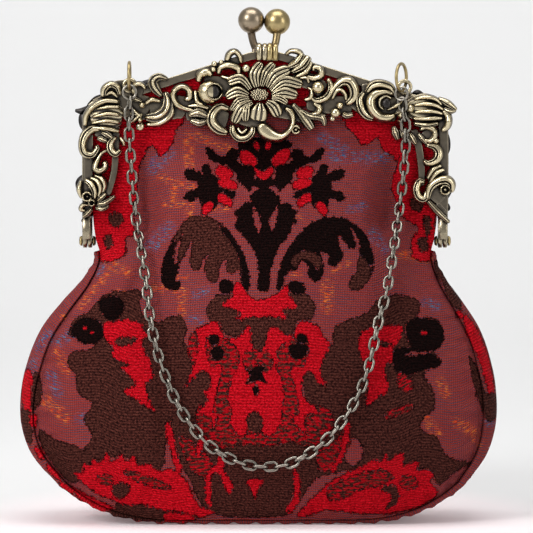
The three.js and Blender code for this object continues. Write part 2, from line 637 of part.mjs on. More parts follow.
const degreesPerStep = 62;
function scrollSolid({ across, up, from, to, start, end, wide, tip, high }) {
  const steps = Math.max(3, Math.round(Math.abs(to - from) / degreesPerStep));
  const sections = Array.from({ length: steps + 1 }, (_, i) => {
    const share = i / steps;
    const angle = THREE.MathUtils.degToRad(mix(from, to, share));
    const radius = mix(start, end, share) * frameHalfWidth;
    const half = mix(wide, tip, share) * frameHalfWidth;
    const at = (r, height) => {
      const x = acrossFrame(across) + r * Math.cos(angle);
      return new THREE.Vector3(x, forward(height), upFrame(up) + r * Math.sin(angle));
    };
    return [at(radius - half, 0), at(radius, high), at(radius + half, 0)];
  });
  return loftSolid(sections);
}

const domeSides = 6;
function domeSolid({ across, up, wide, tall, turn, high }) {
  const turned = THREE.MathUtils.degToRad(turn);
  const points = [];
  const ring = (share, height) => {
    for (let i = 0; i < domeSides; i++) {
      const angle = (2 * Math.PI * i) / domeSides;
      const a = wide * frameHalfWidth * share * Math.cos(angle);
      const b = tall * frameHalfWidth * share * Math.sin(angle);
      const x = acrossFrame(across) + a * Math.cos(turned) - b * Math.sin(turned);
      const z = upFrame(up) + a * Math.sin(turned) + b * Math.cos(turned);
      points.push(new THREE.Vector3(x, forward(height), z));
    }
  };
  ring(1, 0);
  ring(0.8, 0.65 * high);
  points.push(new THREE.Vector3(acrossFrame(across), forward(high), upFrame(up)));
  return toSolid(new ConvexGeometry(points));
}

const pierceSides = 5;
function pierceOutline({ across, up, wide, tall, turn }) {
  const turned = THREE.MathUtils.degToRad(turn);
  return Array.from({ length: pierceSides }, (_, i) => {
    const angle = (2 * Math.PI * i) / pierceSides;
    const a = wide * frameHalfWidth * Math.cos(angle);
    const b = tall * frameHalfWidth * Math.sin(angle);
    const x = acrossFrame(across) + a * Math.cos(turned) - b * Math.sin(turned);
    return [x, upFrame(up) + a * Math.sin(turned) + b * Math.cos(turned)];
  });
}

function bandWeb() {
  const half = bandEdge.map(({ across, up }) => [acrossFrame(across), upFrame(up)]);
  const foot = half[half.length - 1][1];
  const lower = [...half.slice(1).map(([x, z]) => [-x, z]).reverse(), ...half];
  const outline = [...archLine(barWall / 2, foot), ...lower.reverse()];
  const holes = piercings.map((row) => plate(pierceOutline(row), webBack - barWall, webFront + barWall));
  return holes.reduce((web, hole) => web.subtract(hole), plate(outline, webBack, webFront));
}

// The lug that hangs from an arm and takes the hinge pin. It is the outer one of the pair on the
// left, the inner one on the right.
function hingeLug(sign) {
  const outside = sign < 0 ? frameHalfWidth : frameHalfWidth - lugThickness - pieceGap;
  const lift = armEnd - hingeHeight + 1;
  const disc = new THREE.CylinderGeometry(lugRadius, lugRadius, lugThickness, 12).rotateZ(Math.PI / 2);
  const bore = new THREE.CylinderGeometry(pinRadius + pieceGap, pinRadius + pieceGap, 2 * lugThickness, 10);
  const tongueDepth = webFront - innerFace;
  const tongue = new THREE.BoxGeometry(lugThickness, tongueDepth, lift);
  tongue.translate(0, -(innerFace + tongueDepth / 2), lift / 2);
  const solid = toSolid(disc).add(toSolid(tongue)).subtract(toSolid(bore.rotateZ(Math.PI / 2)));
  return solid.translate([sign * (outside - lugThickness / 2), 0, hingeHeight]);
}

// A block that joins the inner lug to its arm, whose channel lies further out.
function lugBridge(sign) {
  const depth = webFront - innerFace;
  const block = new THREE.BoxGeometry(lugSpan, depth, 2);
  block.translate(sign * (frameHalfWidth - lugSpan / 2), -(innerFace + depth / 2), armEnd);
  return toSolid(block);
}

// A ring soldered to the front of the bar, whose hole clears the bar's top.
const barTop = (across) => peakHeight - Math.abs(acrossFrame(across)) * Math.tan(barSlope);
const eyeletDepth = webFront + eyeletAhead;
const eyeletHeight = (across) => barTop(across) + eyeletRadius - eyeletWire;

function eyelet(across) {
  const ring = torus(eyeletRadius, eyeletWire, 10, 5).rotateX(Math.PI / 2);
  ring.translate(acrossFrame(across), -eyeletDepth, eyeletHeight(across));
  return toSolid(ring);
}

function frameCasting(withEyelets) {
  const rim = plate(archStrip(0, barWall, armEnd), innerFace, webFront);
  const face = plate(archStrip(0, barFace, armEnd), webBack, webFront);
  const back = plate(archStrip(0, barFace, armEnd), innerFace, backWall);
  const parts = [rim, face, back, bandWeb(), hingeLug(-1), hingeLug(1), lugBridge(1), lugBridge(-1)];
  parts.push(...blades.map(bladeSolid), ...scrolls.map(scrollSolid), ...domes.map(domeSolid));
  if (withEyelets) parts.push(eyelet(eyeletAcross.left), eyelet(eyeletAcross.right));
  return toGeometry(joined(parts));
}

// Clasp, hinge pins, rings and chain

function clasp() {
  const seat = claspSeat(stemFootAcross) + collarWall / 2;
  const foot = new THREE.Vector3(stemFootAcross, -(innerFace + webFront) / 2, seat);
  const ball = new THREE.Vector3(ballSpacing / 2, 0, ballHeight);
  const bow = new THREE.Vector3(mix(foot.x, ball.x, 0.25), foot.y, mix(foot.z, ball.z, 0.55));
  const curve = new THREE.QuadraticBezierCurve3(foot, bow, ball);
  const sides = 8;
  const sections = Array.from({ length: 6 }, (_, i) => {
    const at = curve.getPoint(i / 5);
    const along = i === 0 ? new THREE.Vector3(0, 0, 1) : curve.getTangent(i / 5);
    const one = new THREE.Vector3(0, 1, 0).cross(along).normalize();
    const two = along.clone().cross(one);
    return Array.from({ length: sides }, (_, j) => {
      const angle = (2 * Math.PI * j) / sides;
      const p = at.clone().addScaledVector(one, stemRadius * Math.cos(angle));
      return p.addScaledVector(two, stemRadius * Math.sin(angle));
    });
  });
  const sphere = new THREE.SphereGeometry(ballRadius, 12, 8).rotateX(Math.PI / 2);
  sphere.translate(ball.x, ball.y, ball.z);
  return toGeometry(joined([loftSolid(sections), toSolid(sphere), claspCollar()]));
}

// The collar saddles the bar: it lies on the bar's top and laps over its front.
function claspCollar() {
  const depth = webFront + pieceGap + collarWall - innerFace;
  const height = collarReach + collarWall + pieceGap;
  const block = new THREE.BoxGeometry(collarWidth, depth, height);
  const top = claspSeat(stemFootAcross) + collarWall;
  block.translate(stemFootAcross, -(innerFace + depth / 2), top - height / 2);
  const bar = plate(archLine(-pieceGap, armEnd), -frameHalfWidth, webFront + pieceGap);
  return toSolid(block).subtract(bar);
}

// The top of the bar over a point across it, with the small gap that the clasp's foot keeps.
function claspSeat(x) {
  const line = archLine(0, armEnd);
  for (let i = 1; i < line.length; i++) {
    if (line[i][0] < x) continue;
    const t = (x - line[i - 1][0]) / (line[i][0] - line[i - 1][0]);
    return mix(line[i - 1][1], line[i][1], t) + 2 * pieceGap;
  }
  return peakHeight;
}

function hingePin() {
  const length = 2 * lugThickness + 3 * pieceGap;
  const shank = new THREE.CylinderGeometry(pinRadius, pinRadius, length + 1, 10);
  const head = () => new THREE.CylinderGeometry(rivetHeadRadius, rivetHeadRadius, rivetHeadThickness, 10);
  const offset = (length + rivetHeadThickness) / 2;
  const outer = toSolid(head().translate(0, offset, 0));
  const inner = toSolid(head().translate(0, -offset, 0));
  const solid = toSolid(shank).add(outer).add(inner);
  return toGeometry(solid).rotateZ(Math.PI / 2);
}

// A ring through the eyelet. Its wire passes behind the eyelet's top, through its hole, and just
// clear of the bar's front upper edge.
function jumpRingPlace(side) {
  const across = eyeletAcross[side];
  const reach = ringRadius - eyeletWire - ringWire - 1.5 * ringClearance;
  const edge = reach - eyeletAhead;
  const clear = ringRadius + ringWire + ringClearance;
  const rise = Math.sqrt(clear ** 2 - edge ** 2);
  const turn = THREE.MathUtils.degToRad(ringTurn[side]);
  const x = acrossFrame(across) - reach * Math.sin(turn);
  return new THREE.Vector3(x, -(eyeletDepth + reach * Math.cos(turn)), barTop(across) + rise);
}

function endLinkPlace(side) {
  const ring = jumpRingPlace(side);
  const top = ring.z - ringRadius + ringWire + ringClearance + endLinkWire;
  return new THREE.Vector3(ring.x, ring.y, top - endLinkRadius);
}

// How far forward the front panel stands behind a chain's width and a step either way of a point.
function surfaceAhead(mesh, x, z) {
  const heights = [-1, 0, 1].flatMap((aside) =>
    [-1, 0, 1].map((along) => {
      const from = new THREE.Vector3(x + (aside * chainWidth) / 2, -5 * bellyDepth, z + along * chainWidth);
      const hit = new THREE.Raycaster(from, new THREE.Vector3(0, 1, 0)).intersectObject(mesh)[0];
      return hit ? -hit.point.y : 0;
    }),
  );
  return Math.max(...heights);
}

// The lower end of an end link, with the small gap that the chain keeps there.
function chainEnd(side) {
  const link = endLinkPlace(side);
  return link.setZ(link.z - endLinkRadius - endLinkWire - pieceGap);
}

function chainTube(panelGeometry) {
  const wall = new THREE.Mesh(panelGeometry, new THREE.MeshBasicMaterial({ side: THREE.DoubleSide }));
  const ends = { left: chainEnd("left"), right: chainEnd("right") };
  const between = chainRoute.map(([across, up]) => {
    const end = across < 0 ? ends.left : ends.right;
    const [x, z] = [acrossFrame(across), up * end.z];
    const lying = surfaceAhead(wall, x, z) + chainWidth / 2 + chainClearance;
    return new THREE.Vector3(x, -Math.max(-end.y, lying), z);
  });
  const points = [ends.left, ...between, ends.right];
  const curve = new THREE.CatmullRomCurve3(points, false, "centripetal");
  const section = new THREE.Shape();
  for (let i = 0; i < chainSides; i++) {
    const angle = (2 * Math.PI * i) / chainSides;
    const at = [(chainWidth / 2) * Math.cos(angle), (chainWidth / 2) * Math.sin(angle)];
    if (i === 0) section.moveTo(...at);
    else section.lineTo(...at);
  }
  return new THREE.ExtrudeGeometry(section, { steps: chainSteps, bevelEnabled: false, extrudePath: curve });
}

// The assembly

const clothFinish = new THREE.MeshStandardMaterial({ color: 0x7a2a2c, roughness: 0.95, metalness: 0 });
const gussetFinish = new THREE.MeshStandardMaterial({ color: 0x6a2a28, roughness: 0.95, metalness: 0 });
const castFinish = new THREE.MeshStandardMaterial({ color: 0x8c8064, roughness: 0.38, metalness: 0.95 });
const brassFinish = new THREE.MeshStandardMaterial({ color: 0xa08c5c, roughness: 0.3, metalness: 0.95 });
const chainFinish = new THREE.MeshStandardMaterial({ color: 0x77756c, roughness: 0.42, metalness: 0.9 });

const bag = new THREE.Group();

function addPiece(name, geometry, material, parent = bag) {
  const mesh = new THREE.Mesh(geometry, material);
  mesh.name = name;
  parent.add(mesh);
  return mesh;
}

const frontPanel = panel(-1, frontFolds);
addPiece("front_panel", frontPanel, clothFinish);
addPiece("back_panel", panel(1, backFolds), clothFinish);
addPiece("gusset", gusset(), gussetFinish);

addPiece("front_frame", frameCasting(true), castFinish);
addPiece("front_clasp", clasp(), brassFinish);
const backHalf = new THREE.Group();
backHalf.rotation.z = Math.PI;
bag.add(backHalf);
addPiece("back_frame", frameCasting(false), castFinish, backHalf);
addPiece("back_clasp", clasp(), brassFinish, backHalf);

for (const [side, sign] of [["left", -1], ["right", 1]]) {
  const pin = addPiece(`${side}_hinge_pin`, hingePin(), brassFinish);
  pin.position.set(sign * (frameHalfWidth - lugThickness - pieceGap / 2), 0, hingeHeight);
  const ringShape = torus(ringRadius, ringWire, 14, 6).rotateY(Math.PI / 2);
  const ring = addPiece(`${side}_jump_ring`, ringShape, brassFinish);
  ring.position.copy(jumpRingPlace(side));
  ring.rotation.z = -THREE.MathUtils.degToRad(ringTurn[side]);
  const linkShape = torus(endLinkRadius, endLinkWire, 12, 6).rotateX(Math.PI / 2);
  const link = addPiece(`${side}_end_link`, linkShape, chainFinish);
  link.position.copy(endLinkPlace(side));
  link.rotation.z = ring.rotation.z;
}

addPiece("chain", chainTube(frontPanel), chainFinish);

export default bag;
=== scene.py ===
import math

import bpy
import numpy as np
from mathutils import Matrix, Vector
from mathutils.bvhtree import BVHTree


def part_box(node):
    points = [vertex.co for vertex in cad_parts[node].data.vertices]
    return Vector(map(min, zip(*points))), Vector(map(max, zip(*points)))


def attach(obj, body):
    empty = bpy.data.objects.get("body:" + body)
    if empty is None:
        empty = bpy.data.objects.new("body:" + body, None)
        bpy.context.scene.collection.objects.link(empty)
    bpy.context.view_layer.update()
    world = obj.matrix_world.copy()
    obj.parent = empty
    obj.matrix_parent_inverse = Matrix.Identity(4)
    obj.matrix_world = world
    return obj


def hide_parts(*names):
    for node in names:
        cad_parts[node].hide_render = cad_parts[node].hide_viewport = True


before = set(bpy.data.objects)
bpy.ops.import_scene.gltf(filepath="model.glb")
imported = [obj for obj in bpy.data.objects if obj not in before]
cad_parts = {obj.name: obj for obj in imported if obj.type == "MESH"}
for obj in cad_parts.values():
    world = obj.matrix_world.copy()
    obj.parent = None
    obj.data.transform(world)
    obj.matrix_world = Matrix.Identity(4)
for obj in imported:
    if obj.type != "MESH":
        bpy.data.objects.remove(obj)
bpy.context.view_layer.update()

METRE = 0.001


def box(node):
    low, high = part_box(node)
    return np.array(low) / METRE, np.array(high) / METRE


# Sizes that come from the frame's solids
HALF_WIDTH = 84.0
HINGE_HEIGHT = 129.0
SHOULDER_HEIGHT = 191.5
PEAK_HEIGHT = 218.0
SHOULDER_RADIUS = 13.0
PEAK_RADIUS = 30.0
BAR_FACE = 3.7
BAR_WALL = 1.0
INNER_FACE = 0.15
PIECE_GAP = 0.3
CLOTH_THICKNESS = 2.0
BACK_WALL = INNER_FACE + BAR_WALL
CLOTH_INNER = BACK_WALL + PIECE_GAP
CLOTH_OUTER = CLOTH_INNER + CLOTH_THICKNESS
WEB_BACK = CLOTH_OUTER + 0.8
WEB_FRONT = WEB_BACK + BAR_WALL
ARM_END = HINGE_HEIGHT + 11.0
FRAME_RISE = PEAK_HEIGHT - HINGE_HEIGHT
BAR_SLOPE = math.atan2(PEAK_HEIGHT - SHOULDER_HEIGHT, HALF_WIDTH)
CLOTH_EDGE_INSET = BAR_WALL + PIECE_GAP
SEAM_HALF_LEFT = 105.0
SEAM_HALF_RIGHT = 99.0
WAIST_HALF = HALF_WIDTH - 6.6
LOWER_CORNER_HEIGHT = 20.0
GUSSET_HALF = 25.0
GUSSET_BULGE = 5.7
BELLY_DEPTH = 36.0
GUSSET_TOP = HINGE_HEIGHT - 4.5
BASE_SEAM_HEIGHT = CLOTH_THICKNESS + PIECE_GAP
LUG_SPAN = 4.3

# The photograph: its size, the pixels that the bag's middle line and table stand at, and its scale
PHOTO_PIXELS = 533
MIDDLE_PIXEL = 265
TABLE_PIXEL = 519
FRAME_SIDES_PIXELS = (83, 447)
SCALE = 2 * HALF_WIDTH / (FRAME_SIDES_PIXELS[1] - FRAME_SIDES_PIXELS[0])
CAMERA_DISTANCE = 1500.0
CAMERA_ELEVATION = math.radians(3.0)
CAMERA_LIFT = 0.6

# The side seam, the middle line, folds and the cast band's lower edge, as the solids have them.
# up the side, and shares of the side's swell, of the gusset's half width and of its bulge
SIDE_SECTIONS = np.array([
    (0.0, 0.5, 0.88, 0.55), (0.08, 0.86, 0.94, 0.8), (0.15, 0.99, 0.98, 0.95), (0.22, 1.0, 1.0, 1.0),
    (0.3, 0.92, 0.98, 1.0), (0.4, 0.72, 0.88, 0.85), (0.48, 0.42, 0.72, 0.6), (0.55, 0.12, 0.54, 0.35),
    (0.62, -0.06, 0.34, 0.12), (0.68, 0.0, 0.2, 0.0), (0.76, 0.0, 0.14, 0.0),
])
# up the middle, and the share of the belly's depth
MIDDLE_SECTIONS = np.array([
    (0.01, 0.61), (0.055, 0.8), (0.115, 0.92), (0.2, 1.0), (0.3, 1.0), (0.42, 0.92), (0.51, 0.79),
    (0.59, 0.65), (0.67, 0.5), (0.75, 0.35), (0.82, 0.24), (1.0, 0.1),
])
# Folds: across, up, long, wide, turn in degrees, deep
FRONT_FOLDS = [
    (-0.46, 0.2, 0.11, 0.045, -3, -0.075), (-0.66, 0.5, 0.1, 0.05, 32, 0.07),
    (-0.56, 0.53, 0.1, 0.05, 30, -0.05), (0.66, 0.5, 0.1, 0.05, -28, 0.06),
    (0.74, 0.345, 0.035, 0.06, 78, -0.06), (0.52, 0.17, 0.08, 0.05, -58, 0.045),
    (-0.53, 0.04, 0.05, 0.035, 8, -0.06), (0.2, 0.06, 0.05, 0.05, 20, 0.03),
]
BACK_FOLDS = [
    (-0.4, 0.22, 0.11, 0.05, 6, -0.06), (0.62, 0.5, 0.1, 0.05, -30, 0.06),
    (-0.62, 0.5, 0.1, 0.05, 30, 0.06), (0.35, 0.1, 0.07, 0.05, -40, 0.04),
]
# across, and how far up the frame's rise the cast band reaches down
BAND_EDGE = np.array([
    (0.0, 0.54), (0.12, 0.53), (0.22, 0.555), (0.32, 0.6), (0.44, 0.635), (0.56, 0.62), (0.72, 0.6),
    (0.78, 0.5), (0.825, 0.43), (0.835, 0.23), (0.92, 0.15),
])


# Curves

def interpolate(rows, value, column):
    value = np.atleast_1d(np.asarray(value, float))
    key = rows[:, 0]
    data = rows[:, column]
    place = np.clip(np.searchsorted(key, value, side="left"), 1, len(key) - 1)
    before = np.maximum(place - 2, 0)
    after = np.minimum(place + 1, len(key) - 1)
    start = place - 1
    span = key[place] - key[start]
    slope_start = (data[place] - data[before]) / (key[place] - key[before]) * span
    slope_end = (data[after] - data[start]) / (key[after] - key[start]) * span
    t = np.clip((value - key[start]) / span, 0, 1)
    low = (2 * t**3 - 3 * t**2 + 1) * data[start] + (t**3 - 2 * t**2 + t) * slope_start
    return low + (3 * t**2 - 2 * t**3) * data[place] + (t**3 - t**2) * slope_end


def smooth(value):
    t = np.clip(value, 0, 1)
    return t * t * (3 - 2 * t)


def mix(a, b, share):
    return a + (b - a) * share


def rounded_path(corners, radii, steps=16):
    path = [np.array(corners[0], float)]
    for i in range(1, len(corners) - 1):
        here = np.array(corners[i], float)
        back = np.array(corners[i - 1], float) - here
        ahead = np.array(corners[i + 1], float) - here
        back /= np.linalg.norm(back)
        ahead /= np.linalg.norm(ahead)
        half = math.acos(float(np.clip(back @ ahead, -1, 1))) / 2
        radius = radii[i - 1]
        towards = (back + ahead) / np.linalg.norm(back + ahead)
        middle = here + towards * radius / math.sin(half)
        first = here + back * radius / math.tan(half) - middle
        last = here + ahead * radius / math.tan(half) - middle
        turn = math.atan2(first[0] * last[1] - first[1] * last[0], first @ last)
        for step in range(steps + 1):
            a = turn * step / steps
            path.append(middle + [first[0] * math.cos(a) - first[1] * math.sin(a),
                                  first[0] * math.sin(a) + first[1] * math.cos(a)])
    path.append(np.array(corners[-1], float))
    return np.array(path)


def arch_line(inset, foot):
    half = HALF_WIDTH - inset
    peak = PEAK_HEIGHT - inset / math.cos(BAR_SLOPE)
    shoulder = peak - half * math.tan(BAR_SLOPE)
    corners = [(-half, foot), (-half, shoulder), (0, peak), (half, shoulder), (half, foot)]
    radii = [SHOULDER_RADIUS - inset, PEAK_RADIUS - inset, SHOULDER_RADIUS - inset]
    return rounded_path(corners, radii)


def along_path(path, shares):
    steps = np.linalg.norm(np.diff(path, axis=0), axis=1)
    reach = np.concatenate([[0], np.cumsum(steps)])
    wanted = np.asarray(shares) * reach[-1]
    return np.stack([np.interp(wanted, reach, path[:, axis]) for axis in range(path.shape[1])], -1)


def curve_through(points, per_span=8, closed=False):
    points = np.array(points, float)
    count = len(points)
    if closed:
        index = lambda i: i % count
        spans = count
    else:
        index = lambda i: min(max(i, 0), count - 1)
        spans = count - 1
    out = []
    for i in range(spans):
        p0, p1, p2, p3 = (points[index(i + k)] for k in (-1, 0, 1, 2))
        for step in range(per_span):
            t = step / per_span
            out.append(0.5 * (2 * p1 + (p2 - p0) * t + (2 * p0 - 5 * p1 + 4 * p2 - p3) * t**2
                              + (3 * p1 - p0 - 3 * p2 + p3) * t**3))
    if not closed:
        out.append(points[-1])
    return np.array(out)


# Meshes

def add_mesh(name, points, faces, material, slot=None, attributes=None):
    """A mesh that stands for the frame's node of this name, or, with no slot, is part of the studio."""
    mesh = bpy.data.meshes.new(name)
    mesh.from_pydata((np.asarray(points) * METRE).tolist(), [], [list(face) for face in faces])
    mesh.validate()
    mesh.polygons.foreach_set("use_smooth", np.ones(len(mesh.polygons), bool))
    for key, values in (attributes or {}).items():
        values = np.asarray(values, float)
        kind = "FLOAT" if values.ndim == 1 else "FLOAT_VECTOR"
        data = mesh.attributes.new(key, kind, "POINT").data
        data.foreach_set("value" if values.ndim == 1 else "vector", values.ravel())
    mesh.materials.append(material)
    piece = bpy.data.objects.new(f"{name}_{slot}" if slot else name, mesh)
    bpy.context.collection.objects.link(piece)
    if slot is None:
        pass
    else:
        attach(piece, "root")
        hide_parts(name)
    return piece


def grid_faces(rows, columns, flip=False, wrap=False, first=0):
    i, j = np.meshgrid(np.arange(rows - 1), np.arange(columns if wrap else columns - 1), indexing="ij")
    k = (j + 1) % columns
    corners = [i * columns + j, i * columns + k, (i + 1) * columns + k, (i + 1) * columns + j]
    faces = np.stack([c.ravel() for c in corners], -1) + first
    return faces[:, ::-1] if flip else faces


class Parts:
    """Points, faces and vertex values of many small forms that become one mesh."""

    def __init__(self):
        self.points = []
        self.faces = []
        self.values = []
        self.count = 0

    def add(self, points, faces, value):
        points = np.asarray(points, float)
        self.points.append(points)
        self.faces.extend((np.asarray(face) + self.count).tolist() for face in faces)
        self.values.append(np.broadcast_to(np.asarray(value, float), (len(points),)))
        self.count += len(points)

    def finish(self, name, material, slot, turn=False):
        points = np.concatenate(self.points)
        if turn:
            points = points * [-1, -1, 1]
        attributes = {"rub": np.concatenate(self.values)}
        return add_mesh(name, points, self.faces, material, slot, attributes)


def grid_part(parts, grid, value, wrap=False, caps=False):
    rows, columns = grid.shape[:2]
    faces = list(grid_faces(rows, columns, wrap=wrap))
    if caps:
        faces.append(np.arange(columns)[::-1])
        faces.append(np.arange(columns) + (rows - 1) * columns)
    parts.add(grid.reshape(-1, 3), faces, np.broadcast_to(value, (rows, columns)).reshape(-1))


def tube(parts, path, radii, sides=20, value=0.6, closed=False):
    path = np.asarray(path, float)
    tangents = np.gradient(path, axis=0)
    if closed:
        tangents = np.roll(path, -1, 0) - np.roll(path, 1, 0)
    tangents /= np.linalg.norm(tangents, axis=1)[:, None]
    side = np.cross(tangents[0], [0, 1, 0.01])
    side /= np.linalg.norm(side)
    rings = []
    angles = np.linspace(0, 2 * math.pi, sides, endpoint=False)
    for point, tangent, radius in zip(path, tangents, np.broadcast_to(radii, len(path))):
        side = side - tangent * (side @ tangent)
        side /= np.linalg.norm(side)
        other = np.cross(tangent, side)
        rings.append(point + radius * (np.cos(angles)[:, None] * side + np.sin(angles)[:, None] * other))
    if closed:
        rings.append(rings[0])
    grid_part(parts, np.array(rings), value, wrap=True, caps=not closed)


def ball(parts, centre, radius, value=0.7, rows=10, columns=16, squash=(1, 1, 1)):
    theta = np.linspace(0.02, math.pi - 0.02, rows)
    phi = np.linspace(0, 2 * math.pi, columns, endpoint=False)
    t, p = np.meshgrid(theta, phi, indexing="ij")
    grid = np.stack([np.sin(t) * np.cos(p), -np.cos(t), np.sin(t) * np.sin(p)], -1)
    grid_part(parts, np.asarray(centre) + grid * radius * np.array(squash), value, wrap=True, caps=True)


def lathe(parts, centre, axis, profile, sides=24, value=0.6):
    axis = np.asarray(axis, float)
    axis /= np.linalg.norm(axis)
    side = np.cross(axis, [0.3, 0.9, 0.1])
    side /= np.linalg.norm(side)
    other = np.cross(axis, side)
    angles = np.linspace(0, 2 * math.pi, sides, endpoint=False)
    rings = [np.asarray(centre) + axis * along + radius * (np.cos(angles)[:, None] * side
             + np.sin(angles)[:, None] * other) for along, radius in profile]
    grid_part(parts, np.array(rings), value, wrap=True, caps=True)


# Materials

def tone(red, green, blue):
    """A colour given as it looks on a screen, 0 to 255."""
    def linear(value):
        share = value / 255
        return share / 12.92 if share <= 0.04045 else ((share + 0.055) / 1.055) ** 2.4
    return (linear(red), linear(green), linear(blue), 1)


class Nodes:
    """A short way to write a material's nodes."""

    def __init__(self, name):
        self.material = bpy.data.materials.new(name)
        self.material.use_nodes = True
        self.tree = self.material.node_tree
        self.shader = self.tree.nodes["Principled BSDF"]

    def make(self, kind, **settings):
        node = self.tree.nodes.new(kind)
        for key, value in settings.items():
            setattr(node, key, value)
        return node

    def put(self, socket, value):
        if isinstance(value, bpy.types.NodeSocket):
            self.tree.links.new(value, socket)
        else:
            socket.default_value = value

    def attribute(self, name):
        return self.make("ShaderNodeAttribute", attribute_name=name).outputs

    def math(self, operation, a, b=0.0, c=0.0):
        node = self.make("ShaderNodeMath", operation=operation)
        for socket, value in zip(node.inputs, (a, b, c)):
            self.put(socket, value)
        return node.outputs[0]

    def ramp(self, value, low, high):
        node = self.make("ShaderNodeMapRange", interpolation_type="SMOOTHSTEP")
        self.put(node.inputs["Value"], value)
        node.inputs["From Min"].default_value = low
        node.inputs["From Max"].default_value = high
        return node.outputs["Result"]

    def mix(self, share, a, b, blend="MIX"):
        node = self.make("ShaderNodeMix", data_type="RGBA", blend_type=blend)
        self.put(node.inputs["Factor"], share)
        self.put(node.inputs[6], a)
        self.put(node.inputs[7], b)
        return node.outputs[2]

    def scaled(self, vector, scale):
        node = self.make("ShaderNodeVectorMath", operation="MULTIPLY")
        self.put(node.inputs[0], vector)
        node.inputs[1].default_value = scale
        return node.outputs[0]

    def noise(self, vector, scale, detail=2.0, roughness=0.5):
        node = self.make("ShaderNodeTexNoise")
        self.put(node.inputs["Vector"], vector)
        node.inputs["Scale"].default_value = scale
        node.inputs["Detail"].default_value = detail
        node.inputs["Roughness"].default_value = roughness
        return node.outputs["Fac"]

    def bump(self, height, distance, strength=1.0, normal=None):
        node = self.make("ShaderNodeBump")
        node.inputs["Distance"].default_value = distance
        node.inputs["Strength"].default_value = strength
        self.put(node.inputs["Height"], height)
        if normal is not None:
            self.put(node.inputs["Normal"], normal)
        return node.outputs["Normal"]

    def place(self):
        return self.make("ShaderNodeTexCoord").outputs["Object"]


# Distances between the rows of pile, between the ground's weft threads and between its warp threads
RIB = 1.3
WEFT = 1.12
WARP = 1.05
PILES = ("brown", "crimson", "red", "black")
PILE_EDGE = 0.3


def cloth_rows(n, weave):
    """How far across the cloth and through its rows a place is, and waves, 0 to 1, of the rows of pile,
    of the ground's weft and of its warp."""
    split = n.make("ShaderNodeSeparateXYZ")
    n.put(split.inputs[0], weave)
    across = split.outputs[0]
    wander = n.math("MULTIPLY", n.math("SUBTRACT", n.noise(n.scaled(weave, (0.5, 0.25, 1)), 1, 3), 0.5), 0.9)
    up = n.math("ADD", split.outputs[1], wander)
    waves = []
    for place, pitch in ((up, RIB), (up, WEFT), (across, WARP)):
        turns = n.math("MULTIPLY", place, 2 * math.pi / pitch)
        waves.append(n.math("MULTIPLY_ADD", n.math("SINE", turns), 0.5, 0.5))
    return across, n.math("DIVIDE", up, RIB), waves


def pile_masks(n, weave, across, row):
    """Where each colour of pile stands. Its edges step from row to row and are ragged along a row."""
    join = n.make("ShaderNodeCombineXYZ")
    n.put(join.inputs[0], n.math("MULTIPLY", across, 0.55))
    n.put(join.inputs[1], n.math("MULTIPLY", n.math("FLOOR", n.math("ADD", row, 0.25)), 1.7))
    by_row = n.math("MULTIPLY", n.math("SUBTRACT", n.noise(join.outputs[0], 1, 2, 0.6), 0.5), 3.6)
    by_tuft = n.math("MULTIPLY", n.math("SUBTRACT", n.noise(weave, 1.5, 3, 0.7), 0.5), 2.4)
    ragged = n.math("ADD", by_row, by_tuft)
    masks = {}
    for kind in PILES:
        depth = n.attribute("pile_" + kind)["Fac"]
        masks[kind] = n.ramp(n.math("ADD", depth, ragged), -PILE_EDGE, PILE_EDGE)
    return masks


def ground_colour(n, weave, weft, warp, fleck):
    """The flat ground: two tones of weft under thin dark warps, with short floats of other threads."""
    streak = n.noise(n.scaled(weave, (0.12, 1.1, 1)), 1, 2, 0.6)
    cloud = n.noise(weave, 0.05, 3)
    ground = n.mix(n.ramp(weft, 0.3, 0.7), tone(76, 58, 82), tone(166, 42, 26))
    layers = [(n.ramp(streak, 0.42, 0.62), 0.4, tone(168, 60, 44)),
              (n.ramp(fleck, 0.38, 0.62), 0.42, tone(152, 92, 84)),
              (n.ramp(cloud, 0.35, 0.7), 0.25, tone(150, 40, 40)),
              (n.math("SUBTRACT", 1.0, warp), 0.38, tone(40, 10, 12))]
    for where, much, colour in layers:
        ground = n.mix(n.math("MULTIPLY", where, much), ground, colour)
    hue = n.ramp(n.noise(weave, 0.5, 1), 0.35, 0.65)
    slubs = [("orange", (0.3, 2.1, 1), 1, tone(206, 66, 24), tone(216, 118, 54)),
             ("blue", (0.26, 1.9, 1), 1.31, tone(66, 70, 112), tone(68, 118, 150))]
    for kind, stretch, scale, dark, light in slubs:
        slub = n.noise(n.scaled(weave, stretch), scale, 2, 0.5)
        share = n.math("MULTIPLY", n.attribute("slub_" + kind)["Fac"], n.ramp(slub, 0.53, 0.58))
        ground = n.mix(share, ground, n.mix(hue, dark, light))
    return ground


def pile_colours(n, weave, tuft, groove_shade):
    """Each pile's colour. Its tufts vary in tone at random and are darker where they stand low, partly
    painted shade; the grooves between its rows are painted shade.
    """
    tufted = n.ramp(tuft, 0.33, 0.66)
    brown = n.mix(tufted, tone(40, 12, 11), tone(110, 58, 49))
    # Painted shade in the grooves between the rows of brown pile
    brown = n.mix(n.math("MULTIPLY", groove_shade, 0.6), brown, tone(28, 7, 7))
    red = n.mix(tufted, tone(178, 0, 12), tone(250, 26, 46))
    mottle = n.ramp(n.noise(n.scaled(weave, (0.16, 0.5, 1)), 1, 4, 0.7), 0.5, 0.68)
    red = n.mix(n.math("MULTIPLY", mottle, 0.4), red, tone(112, 6, 12))
    # Painted shade in the grooves between the rows of red pile
    red = n.mix(n.math("MULTIPLY", groove_shade, 0.55), red, tone(122, 0, 8))
    patch = n.ramp(n.noise(n.scaled(weave, (0.34, 1 / RIB, 1)), 1, 3, 0.6), 0.46, 0.56)
    crimson = n.mix(patch, brown, n.mix(0.25, red, tone(120, 0, 8)))
    black = n.mix(tufted, tone(5, 1, 1), tone(28, 8, 7))
    return {"brown": brown, "crimson": crimson, "red": red, "black": black}


